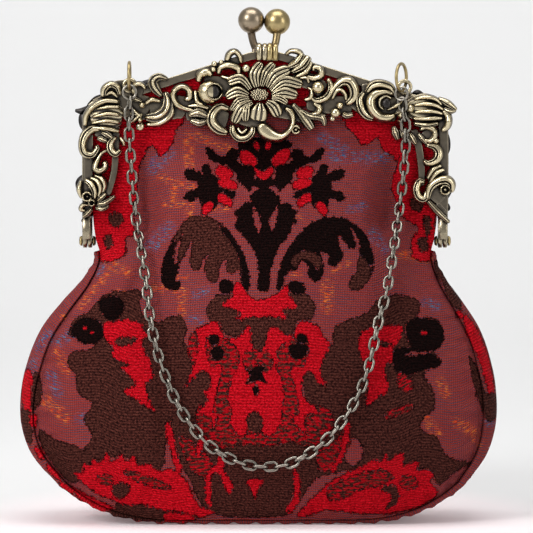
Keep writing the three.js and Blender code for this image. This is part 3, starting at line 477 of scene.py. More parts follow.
def cloth_material():
    """Ribbed carpet cloth. weave holds millimetres across and up the cloth; the pile attributes hold
    how many millimetres a point lies inside each colour of pile."""
    n = Nodes("carpet_cloth")
    weave = n.attribute("weave")["Vector"]
    across, row, (rib, weft, warp) = cloth_rows(n, weave)
    tuft = n.noise(n.scaled(weave, (0.95, 1 / RIB, 1)), 1.15, 2, 0.6)
    fleck = n.noise(n.scaled(weave, (2.2, 4.5, 1)), 1, 3, 0.8)
    masks = pile_masks(n, weave, across, row)
    colour = ground_colour(n, weave, weft, warp, fleck)
    for kind, pile in pile_colours(n, weave, tuft, n.math("SUBTRACT", 1.0, rib)).items():
        colour = n.mix(masks[kind], colour, pile)
    # Painted shade: the shade attribute darkens the colour towards the bag's right and on the gusset's
    # turned-in edges
    shade = n.attribute("shade")["Fac"]
    dark = n.make("ShaderNodeCombineColor")
    for socket in dark.inputs:
        n.put(socket, shade)
    colour = n.mix(1.0, colour, dark.outputs[0], "MULTIPLY")

    piled = masks[PILES[0]]
    for kind in PILES[1:]:
        piled = n.math("MAXIMUM", piled, masks[kind])
    weave_height = n.math("ADD", n.math("MULTIPLY", weft, 0.5), n.math("MULTIPLY", warp, 0.2))
    weave_height = n.math("ADD", weave_height, n.math("MULTIPLY", fleck, 0.35))
    fuzz = n.noise(weave, 3.4, 3, 0.7)
    pile_height = n.math("ADD", n.math("MULTIPLY", rib, 0.9), n.math("MULTIPLY", tuft, 1.7))
    pile_height = n.math("ADD", pile_height, n.math("MULTIPLY", fuzz, 0.9))
    height = n.make("ShaderNodeMix", data_type="FLOAT")
    n.put(height.inputs[0], piled)
    n.put(height.inputs[2], weave_height)
    n.put(height.inputs[3], pile_height)
    normal = n.bump(height.outputs[0], 0.0006)
    normal = n.bump(piled, 0.0007, 0.6, normal)
    n.put(n.shader.inputs["Base Color"], colour)
    n.put(n.shader.inputs["Normal"], normal)
    n.shader.inputs["Roughness"].default_value = 0.95
    n.shader.inputs["Specular IOR Level"].default_value = 0.06
    return n.material


def metal_material(name, dark, middle, bright, roughness, grain=1.0):
    """Antique plated metal: dark in the recesses and rubbed bright on what stands out."""
    n = Nodes(name)
    place = n.place()
    rub = n.attribute("rub")["Fac"]
    occlusion = n.make("ShaderNodeAmbientOcclusion", samples=6)
    occlusion.inputs["Distance"].default_value = 0.0016
    open_sky = n.ramp(occlusion.outputs["AO"], 0.35, 0.95)
    blotch = n.noise(place, 260, 4, 0.6)
    wear = n.math("ADD", n.math("MULTIPLY", rub, 0.85), n.math("MULTIPLY", blotch, 0.3))
    wear = n.math("MULTIPLY", wear, n.math("MULTIPLY_ADD", open_sky, 0.75, 0.25))
    colour = n.mix(n.ramp(wear, 0.12, 0.5), dark, middle)
    colour = n.mix(n.ramp(wear, 0.5, 0.92), colour, bright)
    fine = n.noise(place, 1400, 3, 0.6)
    height = n.math("ADD", n.math("MULTIPLY", fine, 0.3 * grain), n.math("MULTIPLY", blotch, 0.5 * grain))
    n.put(n.shader.inputs["Base Color"], colour)
    n.shader.inputs["Metallic"].default_value = 1.0
    rough = n.math("MULTIPLY_ADD", n.ramp(wear, 0.2, 0.8), -0.16, roughness + 0.14)
    n.put(n.shader.inputs["Roughness"], n.math("MULTIPLY_ADD", fine, 0.1, rough))
    n.put(n.shader.inputs["Normal"], n.bump(height, 0.00012))
    return n.material


CLOTH = cloth_material()
CAST = metal_material("antique_brass", tone(58, 55, 54), tone(132, 122, 106), tone(214, 200, 166), 0.22)
BRASS = metal_material("worn_brass", tone(74, 62, 44), tone(142, 124, 90), tone(190, 170, 122), 0.3, 0.8)
PEWTER = metal_material("worn_pewter", tone(58, 52, 46), tone(118, 104, 88), tone(168, 152, 130), 0.3, 0.8)
CHAIN = metal_material("dark_nickel", tone(44, 42, 39), tone(104, 99, 91), tone(178, 172, 160), 0.26)


# Camera, light and table

def photo_place(points):
    """Where points appear in the photograph, in its pixels."""
    target = np.array([(PHOTO_PIXELS / 2 - MIDDLE_PIXEL) * SCALE, 0,
                       (TABLE_PIXEL - PHOTO_PIXELS / 2) * SCALE + CAMERA_LIFT])
    away = points - target
    ahead = np.array([0, math.cos(CAMERA_ELEVATION), -math.sin(CAMERA_ELEVATION)])
    above = np.array([0, math.sin(CAMERA_ELEVATION), math.cos(CAMERA_ELEVATION)])
    grown = CAMERA_DISTANCE / (CAMERA_DISTANCE + away @ ahead) / SCALE
    return np.stack([PHOTO_PIXELS / 2 + away[..., 0] * grown, PHOTO_PIXELS / 2 - (away @ above) * grown], -1)


def make_camera():
    data = bpy.data.cameras.new("camera")
    data.sensor_width = 36.0
    data.lens = 36.0 * CAMERA_DISTANCE / (PHOTO_PIXELS * SCALE)
    camera = bpy.data.objects.new("camera", data)
    bpy.context.collection.objects.link(camera)
    target = Vector(((PHOTO_PIXELS / 2 - MIDDLE_PIXEL) * SCALE, 0,
                     (TABLE_PIXEL - PHOTO_PIXELS / 2) * SCALE + CAMERA_LIFT)) * METRE
    back = Vector((0, -math.cos(CAMERA_ELEVATION), math.sin(CAMERA_ELEVATION)))
    camera.location = target + back * CAMERA_DISTANCE * METRE
    camera.rotation_euler = (math.pi / 2 - CAMERA_ELEVATION, 0, 0)
    bpy.context.scene.camera = camera


# Lights, in metres and watts: name, place, what it points at, size and power
ON_THE_BAG = (0, 0, 0.12)
ON_THE_BACKDROP = (0, 2.0, 0.3)
LIGHTS = [
    ("key", (-0.8, -0.85, 0.75), ON_THE_BAG, (0.45, 0.6), 9),
    ("fill", (0.95, -0.7, 0.45), ON_THE_BAG, (0.3, 0.7), 2.6),
    ("top", (0.0, -0.15, 1.1), ON_THE_BAG, (0.9, 0.5), 6),
    ("backdrop_wash", (0.0, 0.9, 1.3), ON_THE_BACKDROP, (2.2, 0.6), 9),
]
WORLD_STRENGTH = 0.38
# The paper sweep, in metres: its half width, flat places, bend and top, and how near the bag it is painted
# with bounce light from the cloth: a pink tint and a pink glow that lightens the shadow there
PAPER_HALF_WIDTH = 2.6
PAPER_FLAT = (-0.9, -0.3, 0.4, 1.1)
PAPER_BEND = 0.7
PAPER_BEND_STEPS = 12
PAPER_TOP = 2.6
PAPER_WHITE = (0.86, 0.86, 0.86, 1)
PAPER_BOUNCE_TINT = (0.93, 0.85, 0.865, 1)
BOUNCE_LIGHT_START = 0.16
BOUNCE_LIGHT_FULL = 0.09
BOUNCE_GLOW = (1.0, 0.9, 0.92, 1)
BOUNCE_GLOW_STRENGTH = 0.15


def make_light(name, place, target, size, power):
    data = bpy.data.lights.new(name, "AREA")
    data.shape = "RECTANGLE"
    data.size, data.size_y = size
    data.energy = power
    light = bpy.data.objects.new(name, data)
    bpy.context.collection.objects.link(light)
    light.location = place
    light.rotation_euler = (Vector(target) - Vector(place)).to_track_quat("-Z", "Y").to_euler()


def paper_material():
    n = Nodes("studio_paper")
    away = n.make("ShaderNodeVectorMath", operation="LENGTH")
    n.put(away.inputs[0], n.place())
    # Painted bounce light: near the bag the paper is tinted pink and glows, lightening the shadow there
    near = n.ramp(away.outputs["Value"], BOUNCE_LIGHT_START, BOUNCE_LIGHT_FULL)
    n.put(n.shader.inputs["Base Color"], n.mix(near, PAPER_WHITE, PAPER_BOUNCE_TINT))
    n.put(n.shader.inputs["Emission Color"], BOUNCE_GLOW)
    n.put(n.shader.inputs["Emission Strength"], n.math("MULTIPLY", near, BOUNCE_GLOW_STRENGTH))
    n.shader.inputs["Roughness"].default_value = 0.9
    n.shader.inputs["Specular IOR Level"].default_value = 0.1
    return n.material


def make_studio():
    world = bpy.context.scene.world or bpy.data.worlds.new("studio")
    bpy.context.scene.world = world
    world.use_nodes = True
    background = world.node_tree.nodes["Background"]
    background.inputs["Color"].default_value = (1, 1, 1, 1)
    background.inputs["Strength"].default_value = WORLD_STRENGTH
    for light in LIGHTS:
        make_light(*light)

    profile = [(y, 0.0) for y in PAPER_FLAT]
    for step in range(1, PAPER_BEND_STEPS + 1):
        angle = math.pi / 2 * step / PAPER_BEND_STEPS
        profile.append((PAPER_FLAT[-1] + PAPER_BEND * math.sin(angle), PAPER_BEND * (1 - math.cos(angle))))
    profile.append((PAPER_FLAT[-1] + PAPER_BEND, PAPER_TOP))
    across = np.linspace(-PAPER_HALF_WIDTH, PAPER_HALF_WIDTH, 9)
    grid = np.array([[(x, y, z) for x in across] for y, z in profile]) / METRE
    faces = grid_faces(*grid.shape[:2])
    add_mesh("backdrop", grid.reshape(-1, 3), faces, paper_material())


make_camera()
make_studio()
bpy.context.scene.view_settings.view_transform = "Standard"


# The cloth's figures, drawn in the photograph's pixels. A mirrored one is also drawn on the right of
# the middle line.
# The middle line, as places down the photograph and across it
FIGURE_AXIS = np.array([(150, 265), (290, 264), (340, 258), (430, 256.5), (490, 254)])

# Figures: their pile, whether they are mirrored, and their corners, painted one over the other
FIGURES = [
    ("brown", False, [(249, 289), (248, 270), (243, 253), (235, 240), (226, 228), (214, 219.5),
     (200, 216.5), (187, 219), (178, 230), (170, 245), (164, 260), (161, 275), (164, 285), (172, 290),
     (179, 288), (180.5, 282), (175, 281), (176, 275), (179, 268), (178.5, 262), (181, 259), (186, 254),
     (191, 245), (191, 254), (190, 262), (193, 268.5), (198, 269.5), (201.5, 264), (204, 258), (209, 255),
     (206, 262), (205.5, 272), (209, 280), (214, 282), (218.5, 277), (219, 268), (222, 262), (227, 259),
     (226, 266), (228, 272), (234, 273), (239, 270), (241, 278), (243, 289)]),
    ("black", False, [(176, 240), (170, 245), (164, 260), (161, 275), (164, 285), (172, 290), (179, 288),
     (180.5, 282), (175, 281), (176, 275), (179, 268), (178.5, 262), (173, 257), (175, 247)]),
    ("black", False, [(249, 289), (248, 270), (243, 253), (235, 240), (226, 228), (218, 224), (226, 236),
     (236, 250), (241, 268), (243, 289)]),
    ("ground", False, [(175, 262), (175.5, 252), (178.5, 240), (182, 234), (180.5, 244), (178, 254),
     (178, 263)]),
    ("ground", False, [(185, 256), (187, 249), (192.5, 241), (190.5, 252), (187, 259)]),
    ("black", False, [(277.5, 289), (279, 270), (288, 250), (298.5, 235), (312, 223), (330, 217),
     (348, 220), (363, 232), (370.5, 247), (373.5, 261), (371, 272), (360, 274), (360, 254), (359.5, 242),
     (354, 231), (350, 226), (353, 236), (356, 246), (350, 248), (344, 240), (338, 235), (339, 246),
     (343, 256), (335, 266), (328, 262), (330, 255), (320, 253), (324, 265), (322, 275), (316, 281),
     (309, 275), (308, 265), (301, 260), (297, 269), (290, 270), (285, 277), (282, 289)]),
    ("brown", False, [(371, 268), (369, 278), (363, 287), (355, 290), (348, 285), (352, 279), (357, 268),
     (359, 256), (364, 258)]),
    ("brown", False, [(290, 262), (296, 254), (308, 250), (320, 256), (322, 264), (318, 270), (310, 262),
     (301, 260), (296, 268)]),
    ("brown", False, [(218, 295), (231, 296), (223, 306), (237, 309), (241, 313), (236, 320), (245, 323),
     (239, 335), (229, 335), (221, 331), (220, 323), (211, 321), (206, 311), (211, 302)]),
    ("brown", False, [(288, 294), (304, 293), (313, 302), (315, 311), (311, 319), (297, 321), (295, 331),
     (286, 335), (278, 331), (272, 325), (262, 321)]),
    ("brown", False, [(99, 300), (112, 292), (126, 291), (140, 291), (140, 306), (146, 320), (160, 322),
     (170, 316), (182, 317), (186, 330), (182, 345), (168, 352), (172, 372), (180, 386), (188, 392),
     (178, 402), (172, 416), (168, 436), (160, 452), (140, 458), (118, 456), (98, 460), (84, 452),
     (92, 436), (84, 420), (92, 404), (78, 392), (76, 376), (68, 364), (73, 352), (90, 350), (96, 340),
     (70, 334), (74, 320), (88, 312)]),
    ("brown", False, [(163, 344), (190, 348), (195, 370), (212, 374), (214, 411), (200, 416), (186, 414),
     (172, 420), (160, 400)]),
    ("brown", False, [(136, 440), (164, 444), (160, 470), (138, 464)]),
    ("brown", False, [(335, 327), (350, 320), (368, 312), (378, 300), (395, 295), (417, 300), (419, 310),
     (416, 317), (436, 319), (441, 327), (440, 338), (431, 348), (438, 356), (440, 365), (423, 374),
     (431, 386), (435, 401), (433, 410), (424, 417), (421, 429), (436, 437), (441, 446), (450, 458),
     (471, 463), (457, 470), (440, 484), (431, 475), (405, 468), (381, 461), (361, 467), (345, 470),
     (330, 474), (312, 470), (316, 427), (307, 410), (304, 393), (311, 365), (326, 351), (333, 341)]),
    ("black", False, [(395, 350), (412, 348), (430, 354), (440, 359), (438, 367), (420, 371), (404, 376),
     (394, 366)]),
    ("ground", False, [(346, 442), (355, 438), (362, 446), (361, 460), (352, 466), (344, 456)]),
    ("ground", False, [(405, 353), (418, 351), (431, 350), (431, 353), (418, 355), (406, 356)]),
    ("crimson", False, [(385, 413), (398, 408), (410, 404), (412, 409), (400, 414), (388, 419)]),
    ("crimson", False, [(398, 372), (408, 376), (414, 386), (406, 392), (398, 384)]),
    ("brown", False, [(186, 400), (206, 398), (216, 412), (230, 416), (258, 414), (284, 418), (300, 424),
     (330, 416), (346, 430), (338, 456), (330, 470), (312, 482), (300, 500), (288, 514), (256, 517),
     (224, 516), (206, 508), (196, 494), (186, 472), (172, 452), (170, 430), (176, 412)]),
    ("brown", False, [(40, 430), (56, 440), (76, 446), (92, 458), (84, 476), (70, 482), (52, 462),
     (42, 446)]),
    ("brown", False, [(120, 500), (150, 506), (176, 512), (200, 517), (180, 520), (150, 519), (118, 512)]),
    ("crimson", False, [(199, 406), (216, 404), (232, 402), (262, 405), (300, 404), (326, 408), (334, 420),
     (328, 436), (312, 446), (290, 442), (268, 446), (240, 444), (220, 448), (204, 440), (196, 424)]),
    ("crimson", False, [(180, 436), (200, 448), (212, 462), (206, 476), (192, 470), (184, 454)]),
    ("crimson", False, [(318, 452), (336, 440), (346, 426), (350, 444), (336, 466), (320, 470)]),
    ("red", False, [(229, 291), (237, 282), (243, 286), (249, 295), (257, 300), (270, 297), (278, 293),
     (285, 285), (295, 291), (288, 293), (295, 302), (295, 308), (283, 310), (284, 319), (237, 319),
     (241, 314), (235, 309), (223, 306), (227, 301), (233, 296)]),
    ("brown", False, [(245, 318), (282, 318), (274, 326), (269, 338), (266, 348), (257, 350), (248, 346),
     (246, 334)]),
    ("red", False, [(211, 322), (219, 322), (221, 330), (226, 337), (237, 338), (244, 330), (250, 326),
     (251, 340), (257, 352), (264, 348), (268, 334), (274, 327), (284, 334), (293, 335), (297, 325),
     (303, 321), (312, 323), (320, 328), (324, 337), (330, 344), (327, 352), (322, 362), (320, 372),
     (326, 386), (315, 380), (308, 372), (303, 380), (303, 395), (319, 413), (305, 416), (306, 436),
     (296, 424), (286, 410), (270, 414), (256, 412), (238, 414), (222, 410), (214, 428), (210, 418),
     (199, 412), (207, 402), (205, 392), (211, 387), (209, 374), (200, 372), (185, 387), (193, 367),
     (188, 354), (189, 342), (196, 330), (204, 325)]),
    ("crimson", False, [(209, 336), (226, 340), (238, 350), (238, 366), (231, 380), (228, 398), (231, 412),
     (214, 414), (216, 396), (220, 380), (222, 366), (212, 366), (206, 352)]),
    ("crimson", False, [(306, 336), (290, 340), (277, 352), (277, 366), (282, 380), (284, 398), (282, 412),
     (298, 414), (297, 396), (293, 380), (291, 366), (302, 366), (308, 352)]),
    ("crimson", False, [(190, 336), (196, 332), (198, 350), (194, 366), (189, 352)]),
    ("crimson", False, [(244, 352), (252, 350), (262, 350), (270, 352), (272, 366), (266, 372), (258, 364),
     (250, 372), (243, 364)]),
    ("red", False, [(236, 392), (244, 398), (256, 396), (268, 398), (276, 392), (282, 408), (280, 424),
     (270, 436), (262, 432), (250, 432), (240, 436), (230, 424), (232, 408)]),
    ("brown", False, [(255, 411), (261, 416), (263, 426), (258, 433), (250, 432), (246, 424), (249, 415)]),
    ("brown", False, [(303, 376), (311, 372), (317, 380), (317, 392), (309, 396), (304, 386)]),
    ("red", False, [(103, 325), (115, 321), (129, 320), (140, 323), (143, 328), (148, 336), (142, 340),
     (144, 350), (149, 359), (153, 377), (146, 384), (149, 400), (155, 412), (137, 400), (124, 391),
     (136, 385), (131, 377), (121, 368), (130, 365), (114, 358), (112, 346), (105, 338)]),
    ("brown", False, [(114, 341), (124, 337), (137, 339), (132, 344), (120, 346)]),
    ("red", False, [(362, 332), (380, 326), (401, 326), (400, 338), (394, 348), (392, 361), (384, 367),
     (388, 389), (377, 398), (366, 406), (368, 388), (367, 370), (359, 349)]),
    ("brown", False, [(379, 344), (386, 341), (391, 344), (386, 347)]),
    ("red", False, [(75, 474), (83, 472), (84, 464), (90, 467), (93, 460), (100, 463), (107, 453),
     (112, 463), (121, 454), (127, 461), (134, 456), (139, 465), (150, 464), (158, 471), (171, 469),
     (184, 478), (192, 492), (199, 505), (214, 513), (199, 517), (183, 512), (162, 510), (141, 504),
     (128, 505), (106, 498), (90, 489)]),
    ("crimson", False, [(124, 470), (140, 473), (156, 479), (172, 487), (160, 489), (142, 483),
     (128, 477)]),
    ("crimson", False, [(98, 476), (107, 474), (113, 480), (108, 485), (99, 482)]),
    ("red", False, [(167, 421), (173, 432), (176, 448), (182, 470), (176, 470), (170, 448), (166, 434)]),
    ("brown", False, [(112, 489), (118, 483), (130, 486), (126, 496), (116, 498)]),
    ("red", False, [(297, 516), (311, 499.5), (328, 484), (342, 475), (359, 468), (374, 460), (381, 461),
     (386, 454), (389, 462), (396, 455), (403, 454), (404, 467), (411, 462), (419, 462), (417, 470),
     (426, 469), (434, 474), (430, 482), (438, 492), (426, 503), (405, 511), (381, 514), (354, 513),
     (328, 510), (311, 515)]),
    ("crimson", False, [(328, 488), (345, 479), (365, 472), (384, 470), (394, 477), (380, 486), (360, 490),
     (345, 498), (330, 500)]),
    ("crimson", False, [(400, 478), (412, 476), (418, 484), (410, 490), (401, 486)]),
    ("brown", False, [(380, 488), (392, 485), (399, 492), (396, 504), (386, 508), (392, 496), (384, 492)]),
    ("red", False, [(346, 420), (350, 430), (345, 452), (335, 471), (331, 471), (340, 450), (343, 430)]),
    ("red", False, [(222, 453), (226, 462), (224, 470), (233, 485), (228, 493), (219, 474), (211, 478),
     (211, 506), (206, 500), (206, 476), (216, 464)]),
    ("red", False, [(247, 480), (263, 480), (258, 490), (255, 498), (251, 490)]),
    ("red", False, [(293, 467), (300, 481), (298, 502), (290, 513), (287, 508), (294, 494), (294, 482)]),
    ("red", False, [(196, 455), (199, 442), (207, 438), (203, 446), (200, 456)]),
    ("black", False, [(238, 143), (250, 139), (264, 138), (280, 139), (290, 142), (291, 148), (289, 156),
     (284, 163), (276, 168), (272, 178), (276, 184), (264, 188), (252, 184), (257, 177), (253, 168),
     (245, 164), (240, 157)]),
    ("red", False, [(240, 151), (247, 150), (254, 155), (258, 162), (253, 168), (245, 166), (240, 159)]),
    ("red", False, [(290, 149), (282, 149), (275, 154), (271, 161), (275, 167), (283, 165), (289, 158)]),
    ("red", False, [(254, 167), (263, 171), (271, 166), (274, 171), (268, 179), (262, 180), (256, 175)]),
    ("red", False, [(253, 142), (258.5, 142), (260, 149), (255, 150)]),
    ("red", False, [(266, 142), (271.5, 142), (270, 150), (265, 149)]),
    ("black", True, [(206, 150), (212, 149), (217, 155), (225, 157), (229, 150), (235, 149), (238.5, 156),
     (237, 161), (243, 165), (252, 166), (254, 175), (253, 184), (250, 191), (245, 186), (238, 181),
     (236, 172), (228, 166), (220, 163), (211, 160)]),
    ("black", True, [(205.5, 164), (209, 166), (212, 173), (217, 178), (221, 186), (228, 190), (235.5, 193),
     (233, 199), (225, 198), (218, 200), (214, 209), (203, 208), (199, 198), (190, 201), (184.5, 198),
     (188, 192), (197, 189), (198, 182), (190, 180), (185, 174), (189, 169), (198, 172), (203, 175),
     (202, 168)]),
    ("red", True, [(216, 169), (223, 166), (231, 169), (233, 176), (225, 180), (218, 177)]),
    ("red", True, [(218, 180), (227, 178), (237, 183), (236, 189), (227, 189), (219, 186)]),
    ("red", True, [(218, 194), (224, 193), (232, 200), (231, 207), (225, 205), (218, 201)]),
    ("red", True, [(205, 203), (210, 201), (214.5, 205), (210, 212), (203, 215), (201, 209)]),
    ("black", False, [(264, 187.5), (272, 191), (279, 197.5), (281, 204), (288, 203.5), (292, 208),
     (297, 212), (294, 217), (298, 221), (292, 225), (289.5, 232), (285, 239.5), (279, 247), (274.5, 257.5),
     (270, 272.5), (268.5, 289), (258, 289), (259, 272.5), (257, 257.5), (252, 247), (245, 238), (238, 231),
     (235, 225), (238.5, 218.5), (234, 212), (240, 208), (246, 203), (251, 202), (250.5, 197),
     (255, 191.5)]),
    ("ground", False, [(254, 206), (257, 211), (261, 220), (261, 229), (258, 232), (255, 224),
     (252.5, 214)]),
    ("ground", False, [(277, 206), (273, 212), (269, 220), (270, 229), (273, 231), (276, 223),
     (278.5, 213)]),
    ("black", False, [(219, 284), (226, 280), (233, 284), (232, 292), (222, 293)]),
    ("black", False, [(289, 284), (297, 281), (305, 286), (302, 293), (291, 292)]),
    ("black", False, [(99, 303), (106, 297), (118, 297), (124, 306), (118, 318), (106, 318)]),
    ("black", False, [(72, 328), (84, 318), (100, 322), (102, 338), (90, 344), (78, 340)]),
    ("black", False, [(406, 324), (420, 318), (438, 322), (444, 336), (436, 350), (418, 350), (408, 340)]),
    ("red", False, [(83, 326), (87, 326), (87, 330), (83, 330)]),
    ("red", False, [(90, 331), (94, 331), (94, 334), (90, 334)]),
    ("red", False, [(421, 331), (427, 331), (427, 335), (421, 335)]),
    ("black", False, [(210, 336), (218, 336), (218, 344), (210, 344)]),
    ("black", False, [(211, 350), (218, 346), (224, 352), (220, 360), (212, 358)]),
    ("black", False, [(298, 335), (306, 336), (305, 343), (298, 342)]),
    ("black", False, [(289, 347), (298, 343), (308, 347), (304, 357), (293, 358)]),
    ("black", False, [(245, 366), (250, 370), (256, 367), (264, 366), (262, 374), (266, 383), (258, 380),
     (246, 384), (250, 376)]),
    ("black", False, [(256, 385), (259, 390), (256, 395), (253, 390)]),
    ("red", False, [(133, 129), (144, 124), (165, 118), (183, 112), (182, 124), (176, 130), (173, 142),
     (166, 152), (160, 156), (154, 146), (148, 148), (143, 158), (137, 166), (133, 150)]),
    ("red", False, [(344, 110), (346, 126), (356, 136), (362, 145), (371, 142), (378, 138), (383, 150),
     (392, 155), (398, 160), (412, 130), (400, 112), (370, 104)]),
    ("red", False, [(90, 92), (118, 96), (134, 110), (141, 150), (138, 180), (136, 200), (134, 212),
     (133, 235), (126, 238), (124, 256), (96, 257), (92, 200), (88, 150)]),
    ("red", False, [(180, 60), (265, 44), (350, 60), (440, 92), (442, 150), (436, 200), (435, 220),
     (433, 258), (414, 258), (412, 240), (418, 228), (402, 216), (396, 200), (391, 186), (396, 170),
     (398, 152), (386, 148), (376, 134), (350, 118), (330, 108), (200, 108), (182, 114), (140, 122),
     (96, 96), (120, 78)]),
    ("brown", False, [(109, 216), (116, 212), (124, 218), (120, 226), (111, 225)]),
    ("red", False, [(21, 378), (28, 370), (33, 378), (32, 395), (31, 410), (26, 412), (20, 398)]),
    ("brown", False, [(33, 378), (37, 372), (41, 382), (41, 400), (37, 406), (32, 410)]),
    ("brown", False, [(20, 412), (31, 411), (33, 430), (31, 443), (24, 440)]),
    ("red", False, [(31, 414), (37, 416), (36, 427), (31, 424)]),
    ("red", False, [(34, 444), (42, 450), (45, 459), (38, 457)]),
    ("red", False, [(47, 464), (57, 471), (60, 480), (50, 474)]),
    ("red", False, [(60, 482), (71, 487), (73, 494), (64, 492)]),
    ("red", False, [(72, 487), (90, 496), (112, 507), (113, 514), (94, 511), (80, 500)]),
    ("brown", False, [(112, 509), (165, 515), (165, 521), (114, 517)]),
    ("red", False, [(167, 513), (192, 515), (192, 521), (167, 521)]),
    ("brown", False, [(438, 262), (450, 276), (462, 300), (460, 310), (452, 304), (444, 286), (436, 272)]),
    ("red", False, [(456, 312), (463, 313), (464, 319), (458, 318)]),
    ("red", False, [(464, 316), (470, 319), (479, 331), (487, 349), (493, 371), (496, 394), (489, 394),
     (484, 378), (478, 358), (470, 342), (465, 330)]),
    ("brown", False, [(469, 358), (477, 368), (486, 394), (497, 396), (497, 417), (488, 420), (476, 392)]),
    ("brown", False, [(484, 396), (498, 396), (498, 417), (486, 418)]),
    ("brown", False, [(104, 238), (110, 234), (113, 244), (107, 249)]),
    ("brown", False, [(410, 199), (418, 197), (424, 203), (420, 211), (412, 209)]),
    ("brown", False, [(424, 216), (430, 218), (431, 232), (425, 234)]),
    ("brown", False, [(418, 240), (427, 238), (428, 250), (420, 251)]),
]

# Where short floats of orange and of blue show in the ground: two ends and half width in pixels
ORANGE_PATCHES = [
    (189, 136, 189, 166, 5), (196, 136, 233, 150, 4), (160, 177, 193, 187, 3.5), (174, 188, 174, 202, 4),
    (164, 204, 194, 205, 3), (189, 206, 189, 216, 4), (154, 287, 186, 291, 3.5), (182, 296, 182, 316, 4),
    (178, 277, 186, 277, 2.5), (327, 286, 327, 308, 6), (334, 270, 348, 263, 3), (294, 218, 301, 218, 2.5),
    (214, 209, 228, 209, 2.5), (292, 274, 300, 274, 2.5), (106, 276, 80, 306, 4), (110, 264, 128, 272, 5),
    (63, 317, 63, 318, 3), (118, 292, 122, 292, 3), (58, 352, 68, 372, 5), (46, 400, 66, 418, 6),
    (440, 382, 446, 394, 5), (424, 413, 436, 434, 5), (458, 423, 474, 432, 5), (400, 254, 430, 260, 4),
    (474, 439, 480, 443, 3), (176, 372, 184, 376, 3),
]
BLUE_PATCHES = [
    (323, 138, 344, 150, 6), (332, 156, 384, 158, 6), (350, 210, 364, 206, 4), (152, 168, 168, 154, 7),
    (152, 245, 168, 228, 7), (195, 295, 206, 290, 4), (192, 320, 200, 320, 4), (374, 234, 384, 248, 6),
    (426, 302, 436, 306, 5), (80, 418, 96, 420, 5), (50, 374, 58, 392, 5), (38, 348, 49, 336, 6),
    (29, 370, 36, 362, 5), (488, 421, 492, 425, 4), (100, 274, 102, 266, 3), (60, 342, 70, 334, 5),
]
PILE_KINDS = ("ground",) + PILES
FAR_FROM_FIGURE = 4.0


def inside_depth(places, outline):
    """Signed distance from places to a closed outline, more than 0 inside it."""
    start = outline
    end = np.roll(outline, -1, axis=0)
    edge = end - start
    away = places[:, None, :] - start[None]
    t = np.clip((away * edge).sum(-1) / np.maximum((edge**2).sum(-1), 1e-9), 0, 1)
    distance = np.sqrt(((away - t[..., None] * edge) ** 2).sum(-1).min(1))
    y = places[:, 1][:, None]
    crosses = (start[:, 1] > y) != (end[:, 1] > y)
    rise = np.where(edge[:, 1] == 0, 1e-9, edge[:, 1])
    hit = places[:, 0][:, None] < start[:, 0] + (y - start[:, 1]) * edge[:, 0] / rise
    odd = (crosses & hit).sum(1) % 2 == 1
    return np.where(odd, distance, -distance)


def paint_figures(places):
    """How far inside each kind of pile the places, in pixels, lie, in millimetres."""
    depth = {kind: np.full(len(places), -FAR_FROM_FIGURE) for kind in PILE_KINDS}
    depth["ground"][:] = FAR_FROM_FIGURE
    margin = FAR_FROM_FIGURE / SCALE
    for kind, mirrored, corners in FIGURES:
        outlines = [curve_through(corners, 5, closed=True)]
        if mirrored:
            axis = np.interp(outlines[0][:, 1], FIGURE_AXIS[:, 0], FIGURE_AXIS[:, 1])
            flipped = outlines[0].copy()
            flipped[:, 0] = 2 * axis - outlines[0][:, 0]
            outlines.append(flipped)
        for outline in outlines:
            low, high = outline.min(0) - margin, outline.max(0) + margin
            near = np.nonzero(((places > low) & (places < high)).all(1))[0]
            if len(near) == 0:
                continue
            inside = inside_depth(places[near], outline) * SCALE
            inside = np.clip(inside, -FAR_FROM_FIGURE, FAR_FROM_FIGURE)
            for other in PILE_KINDS:
                if other == kind:
                    depth[other][near] = np.maximum(depth[other][near], inside)
                else:
                    depth[other][near] = np.minimum(depth[other][near], -inside)
    return depth


def patch_share(places, patches):
    share = np.zeros(len(places))
    for x0, y0, x1, y1, half in patches:
        start, run = np.array([x0, y0]), np.array([x1 - x0, y1 - y0])
        along = np.clip((places - start) @ run / max(run @ run, 1e-9), 0, 1)
        away = np.linalg.norm(places - start - along[:, None] * run, axis=1)
        share = np.maximum(share, 1 - smooth((away - 0.5 * half) / half))
    return share


def cloth_attributes(front, weave):
    """front is the points as the front of the bag shows them, which the figures are drawn on."""
    places = photo_place(front)
    depth = paint_figures(places)
    attributes = {"pile_" + kind: depth[kind] for kind in PILES}
    attributes["slub_orange"] = patch_share(places, ORANGE_PATCHES)
    attributes["slub_blue"] = patch_share(places, BLUE_PATCHES)
    attributes["weave"] = np.concatenate([weave, np.zeros((len(weave), 1))], 1)
    return attributes


# The pouch

TOP_LINE = arch_line(CLOTH_EDGE_INSET, ARM_END)
TOP_CORNER = TOP_LINE[1]
TOP_EDGE = TOP_LINE[1:-1]
GUSSET_TOP_UP = (GUSSET_TOP - LOWER_CORNER_HEIGHT) / (TOP_CORNER[1] - LOWER_CORNER_HEIGHT)
CHANNEL_UP = (ARM_END + 5 * PIECE_GAP - LOWER_CORNER_HEIGHT) / (TOP_CORNER[1] - LOWER_CORNER_HEIGHT)
CHANNEL_ROWS = 4
BASE_FLAT_SHARE = 0.35
CLEAR_START = 10.0
CLEAR_REACH = 16.0
CROWN_POWER = 2.4
BASE_BLEND = 0.16
ARM_CLEARANCE = 15.5


def side_height(up):
    return mix(LOWER_CORNER_HEIGHT, TOP_CORNER[1], up)


